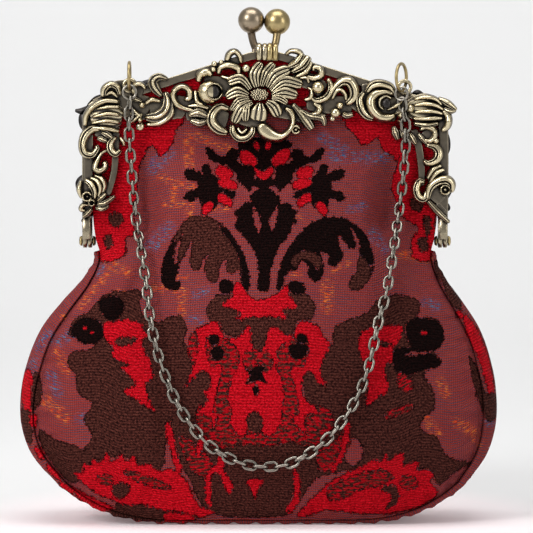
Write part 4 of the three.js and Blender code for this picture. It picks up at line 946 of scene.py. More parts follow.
def side_half(up, sign):
    widest = SEAM_HALF_LEFT if sign < 0 else SEAM_HALF_RIGHT
    free = WAIST_HALF + (widest - WAIST_HALF) * interpolate(SIDE_SECTIONS, up, 1)
    inside_lugs = HALF_WIDTH - LUG_SPAN - 2 * PIECE_GAP
    beside = mix(free, inside_lugs, smooth((up - GUSSET_TOP_UP) / (CHANNEL_UP - GUSSET_TOP_UP)))
    return mix(beside, -TOP_CORNER[0], smooth((up - CHANNEL_UP) * CHANNEL_ROWS / (1 - CHANNEL_UP)))


def side_gap(up):
    channel = smooth((up - GUSSET_TOP_UP) / (CHANNEL_UP - GUSSET_TOP_UP))
    return mix(GUSSET_HALF * interpolate(SIDE_SECTIONS, up, 2), CLOTH_OUTER, channel)


def base_edge(turn):
    half = np.where(turn < 0, side_half(0, -1)[0], side_half(0, 1)[0])
    lift = np.maximum(0, (np.abs(turn) - BASE_FLAT_SHARE) / (1 - BASE_FLAT_SHARE))
    return np.stack([turn * half, BASE_SEAM_HEIGHT + (LOWER_CORNER_HEIGHT - BASE_SEAM_HEIGHT) * lift**3], -1)


def panel_places(s, v):
    turn = 2 * s - 1
    base = base_edge(turn)
    top = along_path(TOP_EDGE, s.ravel()).reshape(s.shape + (2,))
    left = np.stack([-side_half(v.ravel(), -1).reshape(v.shape), side_height(v)], -1)
    right = np.stack([side_half(v.ravel(), 1).reshape(v.shape), side_height(v)], -1)
    corners = [base_edge(np.array(-1.0)), base_edge(np.array(1.0)), TOP_EDGE[0], TOP_EDGE[-1]]
    s, v = s[..., None], v[..., None]
    edges = mix(base, top, v) + mix(left, right, s)
    return edges - mix(mix(corners[0], corners[1], s), mix(corners[2], corners[3], s), v)


def free_of_band(x, z):
    across = np.abs(x) / HALF_WIDTH
    floor = HINGE_HEIGHT + FRAME_RISE * np.interp(across, BAND_EDGE[:, 0], BAND_EDGE[:, 1])
    below = smooth((floor - z - CLEAR_START) / CLEAR_REACH)
    beside = smooth((BAND_EDGE[-3, 0] * HALF_WIDTH - np.abs(x) - CLEAR_START) / CLEAR_REACH)
    under_arm = smooth((ARM_END - z) / ARM_CLEARANCE)
    return np.minimum(below, mix(beside, 1, under_arm))


# How the cloth is drawn in and puckers by its seams, and how far a panel reaches from its middle to a
# side seam and from its base to its top
PANEL_HALF_SPAN = 90
PANEL_SPAN_UP = 175
SEAM_PINCH = 1.5
SEAM_PINCH_REACH = 2.6
PUCKER_HEIGHT = 0.55
PUCKER_REACH = 9.0


def panel_depths(s, v, x, z, folds, seed):
    turn = np.abs(2 * s - 1)
    edge = side_gap(v.ravel()).reshape(v.shape)
    middle = BELLY_DEPTH * interpolate(MIDDLE_SECTIONS, (z / PEAK_HEIGHT).ravel(), 1).reshape(v.shape)
    crown = (1 - turn**CROWN_POWER) * smooth(v / BASE_BLEND)
    soft = np.minimum(1, 4 * crown)
    deep = edge + np.maximum(0, middle - edge) * crown
    for across, up, long, wide, turned, much in folds:
        dx = x - across * SEAM_HALF_RIGHT
        dz = z - up * PEAK_HEIGHT
        angle = math.radians(turned)
        along = (dx * math.sin(angle) + dz * math.cos(angle)) / (long * PEAK_HEIGHT)
        aside = (dx * math.cos(angle) - dz * math.sin(angle)) / (wide * SEAM_HALF_RIGHT)
        deep = deep + soft * much * BELLY_DEPTH * np.exp(-along**2 - aside**2)
    free = free_of_band(x, z)
    deep = mix(CLOTH_OUTER, deep, free)
    to_side = (1 - turn) * PANEL_HALF_SPAN
    to_base = v * PANEL_SPAN_UP
    to_seam = np.minimum(to_side, to_base)
    position = np.where(to_side < to_base, z, x)
    wave = np.sin(position * 0.72 + seed) + 0.6 * np.sin(position * 1.31 + 2 * seed)
    pucker = wave * PUCKER_HEIGHT * np.exp(-((to_seam / PUCKER_REACH) ** 2)) * smooth(to_seam / 3)
    pinch = SEAM_PINCH * np.exp(-((to_seam / SEAM_PINCH_REACH) ** 2))
    broad = 0.5 * np.sin(x * 0.062 + seed) * np.sin(z * 0.055 + 1.7 * seed) * soft
    return deep + free * (pucker + broad - pinch)


PANEL_COLUMNS = 300
PANEL_ROWS = 310
PILE_HEIGHT = 0.35


def side_shade(across):
    """Painted shade: the cloth a little lighter at the left and darker towards the bag's right, as the light
    falls off.
    """
    return 1.02 - 0.2 * smooth((across / SEAM_HALF_RIGHT + 0.25) / 0.9)


def make_panel(name, facing, folds, seed):
    s, v = np.meshgrid(np.linspace(0, 1, PANEL_COLUMNS), np.linspace(0, 1, PANEL_ROWS))
    places = panel_places(s, v)
    x, z = places[..., 0], places[..., 1]
    deep = panel_depths(s, v, x, z, folds, seed)
    grid = np.stack([x, facing * deep, z], -1)
    steps_up = np.linalg.norm(np.diff(grid, axis=0), axis=-1)
    steps_across = np.linalg.norm(np.diff(grid, axis=1), axis=-1)
    up = np.concatenate([np.zeros((1, PANEL_COLUMNS)), np.cumsum(steps_up, 0)])
    across = np.concatenate([np.zeros((PANEL_ROWS, 1)), np.cumsum(steps_across, 1)], 1)
    across -= across[:, [PANEL_COLUMNS // 2]]
    up -= up[[-1]] - z[[-1]]
    shown = grid.copy()
    if facing > 0:
        shown = shown * [-1, -1, 1]
    points = grid.reshape(-1, 3)
    weave = np.stack([across.ravel(), up.ravel()], -1)
    attributes = cloth_attributes(shown.reshape(-1, 3), weave)
    # Painted shade: the panel darker towards the bag's right
    attributes["shade"] = side_shade(points[:, 0] * -facing)
    piled = np.max([attributes["pile_" + kind] for kind in PILES], 0)
    raised = PILE_HEIGHT * smooth((piled + 0.4) / 0.8) * free_of_band(points[:, 0], points[:, 2])
    points[:, 1] += facing * raised
    faces = grid_faces(PANEL_ROWS, PANEL_COLUMNS, flip=facing > 0)
    return add_mesh(name, points, faces, CLOTH, "cloth", attributes)


def seam_line(count):
    """Stations along the gusset's seam from the left side's top, round the base, to the right one's."""
    ups = np.linspace(GUSSET_TOP_UP, 0, count)
    turns = np.linspace(-1, 1, 2 * count)[1:-1]
    left = np.stack([-side_half(ups, -1), side_height(ups), side_gap(ups),
                     interpolate(SIDE_SECTIONS, ups, 3)], -1)
    base = base_edge(turns)
    lift = np.maximum(0, (np.abs(turns) - BASE_FLAT_SHARE) / (1 - BASE_FLAT_SHARE))
    under = np.stack([base[:, 0], base[:, 1], np.full(len(turns), side_gap(0)[0]),
                      SIDE_SECTIONS[0, 3] * lift**2], -1)
    right = left[::-1].copy()
    right[:, 0] = side_half(ups[::-1], 1)
    stations = np.concatenate([left, under, right])
    steps = np.linalg.norm(np.diff(stations[:, :2], axis=0), axis=1)
    return along_path(stations, np.linspace(0, 1, 4 * count)), steps.sum()


GUSSET_ROWS = 150
GUSSET_COLUMNS = 72
# How the gusset's edges turn in behind the panels: how far out each step lies, and how far in from the
# step before it
SEAM_ALLOWANCE = [(0.4, 1.7), (-1.4, 1.6), (-3.0, 0.6)]
# How far ahead of the middle plane the figures are drawn that run on over the gusset
GUSSET_DRAWN_AT = -20


def make_gusset():
    stations, length = seam_line(GUSSET_ROWS)
    path = stations[:, :2]
    along = np.gradient(path, axis=0)
    along /= np.linalg.norm(along, axis=1)[:, None]
    normal = np.stack([along[:, 1], -along[:, 0]], -1)
    w = np.linspace(-1, 1, GUSSET_COLUMNS)
    reach = np.linspace(0, length, len(stations))
    width = np.abs(w)[None] * stations[:, 2][:, None]
    to_seam = stations[:, 2][:, None] - width
    bulge = GUSSET_BULGE * stations[:, 3][:, None] * (1 - w**2)[None]
    wave = np.sin(reach * 0.66)[:, None] + 0.6 * np.sin(reach * 1.23 + 1)[:, None]
    pucker = wave * PUCKER_HEIGHT * np.exp(-((to_seam / PUCKER_REACH) ** 2)) * smooth(to_seam / 3)
    pinch = SEAM_PINCH * np.exp(-((to_seam / SEAM_PINCH_REACH) ** 2))
    out = PIECE_GAP + CLOTH_THICKNESS + bulge + pucker - pinch
    y = w[None] * stations[:, 2][:, None]
    for out_step, in_step in SEAM_ALLOWANCE:
        edge = np.full((len(stations), 1), out_step)
        out = np.concatenate([edge, out, edge], 1)
        y = np.concatenate([y[:, :1] + in_step, y, y[:, -1:] - in_step], 1)
    columns = y.shape[1]
    x = path[:, 0][:, None] + normal[:, 0][:, None] * out
    z = np.maximum(0.02, path[:, 1][:, None] + normal[:, 1][:, None] * out)
    grid = np.stack([x, y, z], -1)
    points = grid.reshape(-1, 3)
    weave = np.stack([y.ravel(), np.repeat(reach, columns)], -1)
    attributes = cloth_attributes(points * [1, 0, 1] + [0, GUSSET_DRAWN_AT, 0], weave)
    # Painted shade: the gusset darker towards the bag's right, and its turned-in seam allowances much
    # darker, as the shade behind the panels
    turned_in = np.zeros(columns)
    turned_in[:len(SEAM_ALLOWANCE)] = 1
    turned_in[-len(SEAM_ALLOWANCE):] = 1
    attributes["shade"] = side_shade(points[:, 0]) * np.tile(1 - 0.7 * turned_in, len(stations))
    faces = grid_faces(len(stations), columns)
    return add_mesh("gusset", points, faces, CLOTH, "cloth", attributes)


front_panel = make_panel("front_panel", -1, FRONT_FOLDS, 0.7)
make_panel("back_panel", 1, BACK_FOLDS, 2.1)
make_gusset()

# The cast frame

# Cast ribbons: profile, height, and a list of places and half widths, all but the height in the
# photograph's pixels. The profile says how the ribbon's face is worked.
RIBBONS = [
    ("ribs5", 3.4, [(90, 114, 9), (98, 113, 13), (108, 114, 14), (117, 115, 12), (124, 116, 6)]),
    ("round", 5.2, [(86.6, 125, 2.4), (87.1, 115, 3.2), (94, 105.8, 3.4), (106.6, 100, 3.4),
     (121.3, 101, 2.4)]),
    ("round", 4.8, [(97, 108, 1.4), (108, 106, 2.6), (121, 106, 2.4)]),
    ("round", 5.2, [(93, 116, 1.6), (107.6, 112.5, 2.8), (121.3, 114, 2.4)]),
    ("round", 5, [(92, 122, 1.6), (107.6, 119.6, 2.8), (121.3, 121.4, 2.4)]),
    ("round", 4.4, [(92, 126, 1.6), (106.6, 127.4, 2.8), (121.3, 130, 2.2)]),
    ("gutter", 4.6, [(104.5, 96.8, 2.4), (105.5, 88.4, 3.4), (111.8, 83.7, 3.4), (118.2, 86.3, 3.2),
     (121.3, 94.7, 2)]),
    ("round", 3.6, [(106.6, 94.7, 1.8), (112.9, 91.6, 2.6), (119.2, 96.8, 1.8)]),
    ("round", 4, [(146.6, 88.4, 1.8), (142.4, 83.7, 2.6), (137.1, 83.7, 2.8), (133.9, 88.4, 2.6),
     (136, 94.7, 1.6)]),
    ("leaf", 3.6, [(129.7, 97, 1.8), (136, 98, 2.6), (143.4, 101, 1.6)]),
    ("round", 4.6, [(129.7, 104.2, 1.6), (136, 110.5, 2.4), (142.4, 116.8, 1.8)]),
    ("round", 4.8, [(129.7, 123.2, 1.6), (136, 118, 2.4), (142.4, 112.6, 1.8)]),
    ("leaf", 4, [(131, 112, 1.6), (136.5, 113.5, 2.8), (144, 114, 1.6)]),
    ("ribs3", 5.2, [(168.6, 78.4, 1.6), (160.2, 75.8, 3.4), (154, 80, 4.4), (155.5, 87, 4.4),
     (163, 95.5, 2)]),
    ("ribs3", 5.4, [(165.5, 90.5, 2), (168.9, 100, 4.8), (166.8, 109.5, 5.6), (158.2, 115.8, 5.4),
     (145.5, 116, 2.8)]),
    ("round", 3.8, [(171.8, 100, 2), (171.7, 112.7, 3.4), (161.2, 121.6, 3.2), (146.6, 123.4, 2)]),
    ("round", 3.6, [(145.5, 103.1, 2.2), (152.9, 98.6, 2.8), (161.3, 100.5, 2)]),
    ("round", 4.6, [(184, 98.5, 2), (189.8, 96.6, 3.4), (189.2, 89, 3.2), (182.4, 85.6, 3),
     (175.3, 89.5, 3), (173.9, 96.8, 3.2), (178.2, 104, 3), (186.6, 108, 2.6), (196, 109.5, 2.2)]),
    ("gutter", 4.8, [(102.4, 128.4, 2.4), (93.9, 127.4, 4), (86.6, 133.7, 4.4), (83.6, 143.2, 3.8),
     (85.7, 151.4, 3.8), (92.9, 153.5, 3.6), (98.2, 147.4, 2.6), (97.2, 143.4, 2)]),
    ("leaf", 4, [(102.5, 130.5, 2), (108, 132.8, 3.6), (114, 137, 2)]),
    ("leaf", 3.4, [(98, 136, 1.8), (103.5, 138, 3), (109, 140, 1.8)]),
    ("gutter", 4.8, [(117.6, 135.2, 1.8), (111.9, 141, 3.6), (111.9, 148.4, 4.2), (117.1, 152.4, 3.6),
     (122, 148, 1.6)]),
    ("round", 3.6, [(120.5, 136, 1.6), (124.5, 140.5, 2.6), (125.5, 145, 1.6)]),
    ("round", 4.2, [(109.7, 148.4, 1.6), (102.9, 151.6, 2), (98.4, 158.9, 2.6), (96.2, 166, 3.2),
     (100.3, 169.4, 3.4), (105.5, 166.3, 3), (106.2, 161.6, 2.4), (103, 163, 1.6)]),
    ("round", 4.2, [(82, 179, 1.6), (80.2, 187.4, 2.8), (83, 196.5, 1.8)]),
    ("gutter", 5, [(85.5, 178, 2), (91.5, 182, 3.4), (95.4, 189.5, 3.4), (95, 198, 2)]),
    ("round", 4.6, [(90.8, 175.8, 1.8), (98.2, 179.6, 3), (101.3, 187.4, 3), (98.7, 195.7, 1.8)]),
    ("round", 4, [(95, 173.7, 1.6), (102.4, 176.9, 2.8), (105.4, 184.2, 2.8), (103, 191.5, 1.8)]),
    ("leaf", 4.2, [(97.1, 199.6, 1.8), (102, 196, 3), (107, 191.6, 1.8)]),
    ("leaf", 4, [(97.1, 202.4, 2), (106.6, 200.6, 3), (116, 194, 1.4)]),
    ("leaf", 3.6, [(96, 205.3, 1.8), (103.4, 207, 2.6), (110, 203.6, 1.4)]),
    ("round", 3.8, [(90.8, 203.2, 1.8), (84.5, 203.2, 2.4), (82, 207.4, 2.4), (86.6, 209, 1.8)]),
    ("leaf", 3.6, [(92.4, 206.3, 1.8), (88.4, 211.6, 3), (83.5, 215.2, 1.6)]),
    ("round", 4.4, [(198.7, 81.5, 2.4), (201, 73.6, 4.2), (207.8, 71.4, 4.2), (212, 75, 2.4)]),
    ("round", 3.8, [(195.6, 89, 1.8), (197.5, 100.3, 2.8), (204, 104, 1.8)]),
    ("round", 4.4, [(218.7, 73.6, 2), (220.8, 66.9, 3.2), (229.5, 64.5, 3.6), (238.2, 67.9, 3.4),
     (238.6, 74.6, 2)]),
    ("round", 3.4, [(221, 75, 1.6), (229, 77.4, 2.4), (237, 76, 1.6)]),
    ("round", 4.4, [(227, 61, 2.6), (229.3, 53.9, 3.2), (234.5, 50.9, 3), (239.4, 54.8, 2.6),
     (241.8, 63, 1.8)]),
    ("round", 4.4, [(285.5, 54, 1.6), (291, 50.3, 2.4), (299.5, 51.9, 2.8), (301.5, 58, 2)]),
    ("gutter", 5.2, [(286.5, 67, 1.6), (296.5, 61.7, 4), (303, 52.6, 3)]),
    ("gutter", 5.4, [(290.5, 71.6, 1.8), (301.7, 65, 4.4), (309, 55.6, 3.2)]),
    ("round", 4.6, [(294.8, 76.2, 1.8), (305.6, 70.5, 3.4), (311.4, 60.8, 2.4)]),
    ("round", 4.6, [(304.6, 74.6, 2), (313, 77.6, 3.4), (320.4, 74.4, 3.8), (319.7, 68, 3.2),
     (313.8, 66.5, 2.6), (313, 70.6, 1.6)]),
    ("gutter", 4.4, [(328.4, 78.5, 2), (330.6, 87.5, 3.2), (325.6, 96.3, 3.6), (316.5, 99.5, 3.2),
     (310.6, 95.4, 2)]),
    ("round", 4, [(303.7, 99, 1.8), (310, 96.6, 2.8), (311.2, 89.4, 2.2), (307, 86.5, 1.4)]),
    ("round", 3.6, [(298.7, 77.6, 1.6), (306.4, 76.8, 2.4), (308.6, 82.5, 1.6)]),
    ("gutter", 4.8, [(230.5, 108.2, 2.2), (220.6, 105.4, 3.8), (213, 112.2, 4.6), (212, 121.4, 5.2),
     (218.9, 128.6, 5), (228.6, 131.9, 2.6)]),
    ("gutter", 4.8, [(232.5, 123, 2.4), (233, 130.9, 3.4), (238.4, 136.9, 3.6), (246.3, 136.9, 3.6),
     (251.9, 131.4, 3.4), (253, 125, 2.4)]),
    ("round", 3.6, [(237.5, 126, 1.6), (242, 131.5, 2.2), (247.5, 127, 1.6)]),
    ("round", 5.6, [(259.8, 121.4, 4.2), (264.6, 129.4, 6.8), (272.6, 134.6, 6), (281.5, 135.2, 4.4),
     (289.4, 129, 3.2), (292.8, 120.1, 3), (290.8, 111.2, 3.2), (283.9, 106.2, 2.2)]),
    ("leaf", 4.4, [(291.8, 102.3, 2), (301.4, 113.2, 4.2), (307.6, 121.6, 4.8), (312.2, 128.6, 3.4)]),
    ("leaf", 4.6, [(297.7, 108.2, 1.8), (308.6, 114.3, 3.2), (318, 116, 3.4), (325, 117.4, 5)]),
    ("round", 4.4, [(305.6, 113.6, 1.4), (316, 112.4, 2.8), (319.3, 106.4, 3.4), (312.8, 101.8, 2)]),
    ("leaf", 3.8, [(320, 112, 1.8), (323, 118, 3.2), (324.4, 125, 1.6)]),
    ("leaf", 4.2, [(188.6, 114.6, 2), (198.9, 111.4, 5), (209.8, 116.1, 2.6)]),
    ("leaf", 3.8, [(190.4, 118.6, 2), (199.9, 121.6, 3.8), (209, 118.6, 2)]),
    ("round", 3.4, [(188, 105.2, 1.8), (198, 104.4, 2.6), (209.8, 107.4, 1.8)]),
    ("gutter", 5, [(330.4, 95, 2), (334, 87.6, 3.2), (340.9, 81.1, 4.2), (348.6, 81.1, 5), (353.3, 88.8, 5),
     (352.3, 97.3, 4.4), (344.8, 103.8, 2.2)]),
    ("round", 3.8, [(331.4, 98.7, 1.8), (335.2, 90.6, 2.6), (340.4, 88.8, 2.6), (345, 93.7, 2.2),
     (345.4, 100, 1.6)]),
    ("leaf", 4.2, [(341.6, 111.5, 2), (346, 114.2, 3.4), (352.8, 113, 2)]),
    ("gutter", 4.6, [(394.2, 93.7, 1.8), (389.5, 86, 3.6), (379.4, 82.8, 4.2), (371.3, 84.8, 4.2),
     (365.6, 91.8, 2.4)]),
    ("gutter", 4.8, [(364, 91, 1.8), (358.9, 97.7, 3.8), (360.4, 107.5, 4.4), (365.6, 114.5, 4.2),
     (373.5, 118, 2.4)]),
    ("round", 5.8, [(393.6, 93.7, 1.8), (385.3, 91, 3), (375, 92.7, 4.4), (369.9, 99.6, 5.2),
     (371.9, 109, 5.4), (379.4, 115.6, 5), (388.9, 116.3, 4), (394.8, 112.5, 2)]),
    ("round", 4.2, [(391, 98, 1.6), (385, 95, 2.2), (379.5, 98.5, 2.4), (379, 104.5, 2.2),
     (383, 108.5, 1.6)]),
    ("round", 4.8, [(385.7, 109, 1.6), (392, 106, 2.4), (398.2, 102.6, 2.4), (402.6, 95.7, 1.6)]),
    ("round", 4.6, [(396.8, 118.4, 1.6), (400.2, 121.4, 2.4), (402, 127.3, 1.6)]),
    ("leaf", 4.2, [(394, 113, 1.8), (400, 110, 3), (407, 109, 1.8)]),
    ("ribs5", 3.6, [(405, 107, 6), (413, 107, 11), (422, 108, 14), (432, 109.6, 12), (441, 112, 6)]),
    ("round", 5, [(412, 98.6, 1.6), (422.9, 96, 2.8), (433.8, 98.2, 2.8), (441, 104.6, 1.8)]),
    ("round", 5.4, [(412, 104.6, 1.6), (424, 102.6, 2.9), (434.7, 104.6, 2.9), (442.7, 108.9, 1.8)]),
    ("round", 5.4, [(412, 111.4, 1.6), (424, 110, 2.9), (434, 110.6, 2.9), (442, 113, 1.8)]),
    ("round", 5, [(411, 117.4, 1.6), (423.8, 117.6, 2.9), (433.8, 116.8, 2.9), (441.7, 117, 1.8)]),
    ("gutter", 4.4, [(412, 122, 1.6), (424.8, 124, 3), (437.7, 121.8, 1.8)]),
    ("gutter", 4.4, [(436.7, 97.3, 2), (446.6, 102.4, 3.4), (455.5, 108.9, 1.6)]),
    ("leaf", 3.8, [(442, 107, 2.4), (448, 110, 3), (455, 109.4, 1.2)]),
    ("round", 4.6, [(441, 109, 2.4), (446.8, 115.5, 3.8), (446, 124.7, 3.6), (440, 129.9, 2)]),
    ("round", 4.4, [(418.3, 128.9, 1.8), (424.9, 126, 2.8), (432.6, 128.7, 3.2), (433.4, 135.2, 3.2),
     (428.8, 139.6, 2.8), (422.4, 137.8, 1.8)]),
    ("gutter", 4.4, [(424.3, 143.6, 1.8), (433.6, 145.3, 3.8), (437.8, 152, 4.4), (434.3, 159.3, 4),
     (426.8, 161.5, 2.8), (422.6, 158.3, 1.6)]),
    ("leaf", 4.2, [(392.6, 124.8, 1.8), (394.6, 131.5, 4), (397.2, 138.8, 1.8)]),
    ("leaf", 4.4, [(400.3, 126.8, 1.8), (403, 134, 3.6), (406, 142, 1.8)]),
    ("leaf", 4.2, [(408, 131.2, 1.8), (411.5, 137.5, 3.8), (415, 143.1, 1.8)]),
    ("leaf", 3.8, [(417, 131.6, 1.6), (421.4, 137.4, 2.6), (426.4, 142.6, 1.6)]),
    ("gutter", 4.4, [(424.4, 180.5, 1.8), (418.4, 179.6, 3.2), (415.2, 187.6, 3.8), (418, 195.7, 4),
     (423.9, 196.7, 3.4), (425.4, 188.6, 1.8)]),
    ("round", 4, [(426.4, 177.7, 1.8), (432, 168.2, 3), (440.7, 163.7, 1.8)]),
    ("round", 4.6, [(428.4, 182, 1.8), (435, 171.8, 3.2), (443.8, 167.8, 1.8)]),
    ("gutter", 5.4, [(426.6, 199, 2), (428.8, 187, 3.8), (435.7, 180.2, 4.6), (444.4, 178.2, 4.8),
     (450.2, 182.4, 4.2), (450.4, 191, 2.2)]),
    ("leaf", 3.4, [(426.6, 198.5, 2), (436.7, 209.6, 3.2), (448.6, 221, 1.6)]),
]

# Rings: profile, height, middle, radius, half width, and the angles that they run between, in degrees
# clockwise from the right, as the photograph shows them
RINGS = [
    ("round", 5.8, (214.8, 90.6), 7.8, 1.5, 0, 360),
    ("round", 4.8, (88.2, 194.7), 4.2, 1.7, 0, 360),
    ("round", 4.8, (92.9, 201), 2.8, 1.4, 0, 360),
    ("round", 4.4, (295.6, 128.4), 3.6, 2.0, 0, 360),
    ("round", 4.0, (444, 188), 4.4, 1.6, 0, 360),
]

# Balls and knobs: middle, radius, and height
KNOBS = [
    ((209.6, 91), 12, 5.2), ((213.7, 68.7), 2.9, 3.4), ((214.7, 63.2), 3.1, 3.2), ((221.6, 61.7), 2.7, 3),
    ((246.3, 67.7), 4.3, 4.2), ((142.9, 104.2), 3.2, 5), ((140.8, 119), 2.8, 5), ((140.8, 125.4), 4.6, 2.8),
    ((317.5, 86.5), 6.2, 5.4), ((339.4, 104.6), 3.7, 4.8), ((335, 112), 5.2, 4.6), ((332, 117.6), 3.2, 3.4),
    ((400, 114.2), 3.6, 5.4), ((434.7, 139.4), 3.1, 4), ((409, 107.5), 4.4, 4.8),
    ((295.6, 128.4), 2.4, 3.8), ((328, 79.5), 2.4, 3.2), ((88.2, 194.7), 2, 3), ((444, 188), 2.2, 3.4),
]

# Dark domes set where the castings have hollows, painted shade for their insides: middle, and half width and
# height
SHADED_HOLLOWS = [((215.2, 90.6), 4.8, 6.6), ((385.5, 102.5), 4.4, 4.8)]

# How a collar wraps over the bar, as depth ahead of the middle plane and height over the bar's top
COLLAR_BEND = [(0.8, 0.4), (2.8, 1.1), (WEB_FRONT, 0.8), (WEB_FRONT + 0.9, -0.6), (WEB_FRONT + 0.8, -3.4),
               (WEB_FRONT + 0.2, -5.0)]

# A collar's bands: how far each lies from its middle, and its radius
COLLAR_BANDS = [(-1.2, 1.46), (1.35, 1.34)]
BACK_COLLAR_ACROSS = -1.5

HOLLOW_RISE = 3.9
HOLLOW_DEPTH = 2.4
SEEDS = 44
SEED_RADIUS = 0.44
GOLDEN_ANGLE = math.pi * (3 - math.sqrt(5))
FLOWER_MIDDLE = (259.4, 93.6)
# The main flower's petals: places and half widths from root to tip
PETALS = [
    [(248.3, 101.3, 2), (246, 111, 4.4), (245.4, 120.6, 3.2)],
    [(250.3, 97.3, 2.2), (239.4, 99.6, 4.2), (230.5, 110, 2.4)],
    [(271.1, 97.3, 2), (279.6, 97.3, 4), (287.6, 102.4, 2.8)],
    [(257.2, 87.5, 2.8), (254.6, 73.6, 5.8), (261.8, 61.6, 3.8)],
    [(261.2, 86.5, 2.4), (266.3, 72, 4.8), (274.4, 62.4, 3.6)],
    [(267.1, 87.5, 2.8), (275.4, 74.6, 6.2), (290, 68, 5)],
    [(270.1, 91.4, 2.4), (284, 80.4, 5.6), (302.6, 84.4, 5)],
    [(271.1, 95.4, 2.2), (284, 91.6, 6), (297.6, 95, 4.6)],
    [(266.1, 100.3, 2.4), (273.6, 105.8, 6), (278.4, 115.6, 5)],
    [(253.3, 100.3, 2.4), (241.6, 107.6, 5.6), (233.8, 122.4, 4.6)],
    [(260.2, 101.3, 2.8), (259.2, 109.6, 8), (257.6, 120, 8.4)],
    [(249.3, 94.4, 2.2), (237.5, 90.6, 5.6), (225.6, 96.6, 3.8)],
    [(251.3, 89.4, 2.4), (241.2, 78, 5), (227.6, 81.5, 5.2)],
]


def rib_face(count):
    def face(t):
        grooves = (0.5 - 0.5 * np.cos(math.pi * (count - 1) * t + math.pi * (count % 2 == 0))) ** 2.5
        brow = np.sqrt(np.maximum(0, 1 - 0.88 * t**2))
        return brow * (1 - 0.3 * grooves), (0.4 + 0.6 * brow) * (1 - grooves)
    return face


def gutter_face(t):
    groove = np.exp(-(((t + 0.3) / 0.13) ** 2))
    brow = np.sqrt(np.maximum(0, 1 - 0.92 * np.abs(t) ** 2.6))
    return brow * (1 - 0.36 * groove), (0.25 + 0.75 * brow**2) * (1 - groove)


def petal_face(t):
    grooves = np.exp(-(((np.abs(t) - 0.3) / 0.11) ** 2))
    brow = np.sqrt(np.maximum(0, 1 - 0.85 * t**4))
    return brow * (0.84 + 0.16 * np.abs(t)) * (1 - 0.3 * grooves), brow**2 * (1 - grooves)


def leaf_face(t):
    vein = np.exp(-((np.abs(t) - 0.38) / 0.12) ** 2)
    brow = np.sqrt(np.maximum(0, 1 - 0.9 * t**2))
    return brow * (1 - 0.22 * vein), brow**2 * (1 - 0.8 * vein)


def round_face(t):
    high = np.sqrt(np.maximum(0, 1 - t**2))
    return high, high**2


def flat_face(t):
    return 1 - 0.3 * np.abs(t) ** 6, 0.22 + 0.4 * np.abs(t) ** 8


FACES = {"gutter": gutter_face, "petal": petal_face, "leaf": leaf_face, "round": round_face,
         "flat": flat_face,
         "ribs3": rib_face(3), "ribs5": rib_face(5)}
RIBBON_COLUMNS = 19
RELIEF_BACK = 0.9


def frame_place(pixels):
    pixels = np.asarray(pixels, float)
    return np.stack([(pixels[..., 0] - MIDDLE_PIXEL) * SCALE, (TABLE_PIXEL - pixels[..., 1]) * SCALE], -1)


def ribbon(parts, profile, high, path, halves, lift=(0.55, 1.0, 0.6)):
    """A worked ribbon on the frame's front. path holds x and z, and lift the height's share at its
    start, middle and end."""
    along = np.gradient(path, axis=0)
    along /= np.maximum(np.linalg.norm(along, axis=1), 1e-9)[:, None]
    side = np.stack([-along[:, 1], along[:, 0]], -1)
    t = np.linspace(-1, 1, RIBBON_COLUMNS)
    level, rub = FACES[profile](t)
    share = np.linspace(0, 1, len(path))
    raise_by = np.interp(share, [0, 0.5, 1], lift)
    rounded = np.sqrt(np.clip(np.minimum(share, 1 - share) / 0.06, 0.08, 1))
    height = high * raise_by[:, None] * (0.25 + 0.75 * rounded[:, None]) * level[None]
    wide = halves[:, None] * t[None] * rounded[:, None] ** 0.5
    x = path[:, 0][:, None] + side[:, 0][:, None] * wide
    z = path[:, 1][:, None] + side[:, 1][:, None] * wide
    y = -(WEB_FRONT + height - 0.15)
    top = np.stack([x, y, z], -1)
    back = np.stack([x[:, [0, -1]], np.full((len(path), 2), -(WEB_FRONT - RELIEF_BACK)), z[:, [0, -1]]], -1)
    grid = np.concatenate([back[:, :1], top, back[:, 1:]], 1)
    grid_part(parts, grid, np.concatenate([[0.0], rub, [0.0]])[None], wrap=True, caps=True)


# How much fuller than drawn the ribbons and the petals are cast, and how high the petals stand
FULLNESS = 1.14
PETAL_FULLNESS = 1.1
PETAL_HEIGHT = 4.6


def add_ribbon(parts, profile, high, stations, fullness=FULLNESS):
    stations = np.array(stations, float)
    curve = curve_through(stations, 9)
    halves = np.maximum(curve[:, 2] * SCALE * fullness, 0.3)
    lift = (1, 1, 1) if profile == "flat" else (0.55, 1.0, 0.6)
    ribbon(parts, profile, high, frame_place(curve[:, :2]), halves, lift)


def add_ring(parts, profile, high, middle, radius, half, start, end):
    full = end - start >= 360
    angles = np.radians(np.linspace(start, end, 44))
    pixels = np.stack([middle[0] + radius * np.cos(angles), middle[1] + radius * np.sin(angles)], -1)
    halves = np.full(len(angles), half * SCALE)
    if not full:
        halves = halves * (0.45 + 0.55 * np.sin(np.linspace(0.25, math.pi - 0.25, len(angles))))
    ribbon(parts, profile, high, frame_place(pixels), halves, (1, 1, 1) if full else (0.7, 1, 0.7))


def add_petal(parts, index, stations):
    curve = curve_through(stations, 13)
    share = np.linspace(0, 1, len(curve))
    halves = curve[:, 2] * SCALE * PETAL_FULLNESS * np.sqrt(np.clip((1.04 - share) / 0.2, 0, 1))
    high = PETAL_HEIGHT + 0.35 * (index % 3)
    ribbon(parts, "petal", high, frame_place(curve[:, :2]), np.maximum(halves, 0.25), (0.8, 1.0, 0.7))


def add_knob(parts, middle, radius, high):
    x, z = frame_place(middle)
    size = radius * SCALE
    tall = max(high * 0.55, size * 0.8)
    centre = (x, -(WEB_FRONT + high - tall), z)
    ball(parts, centre, size, 0.85, 10, 18, (1, tall / size, 1))


BAR_STATIONS = 260


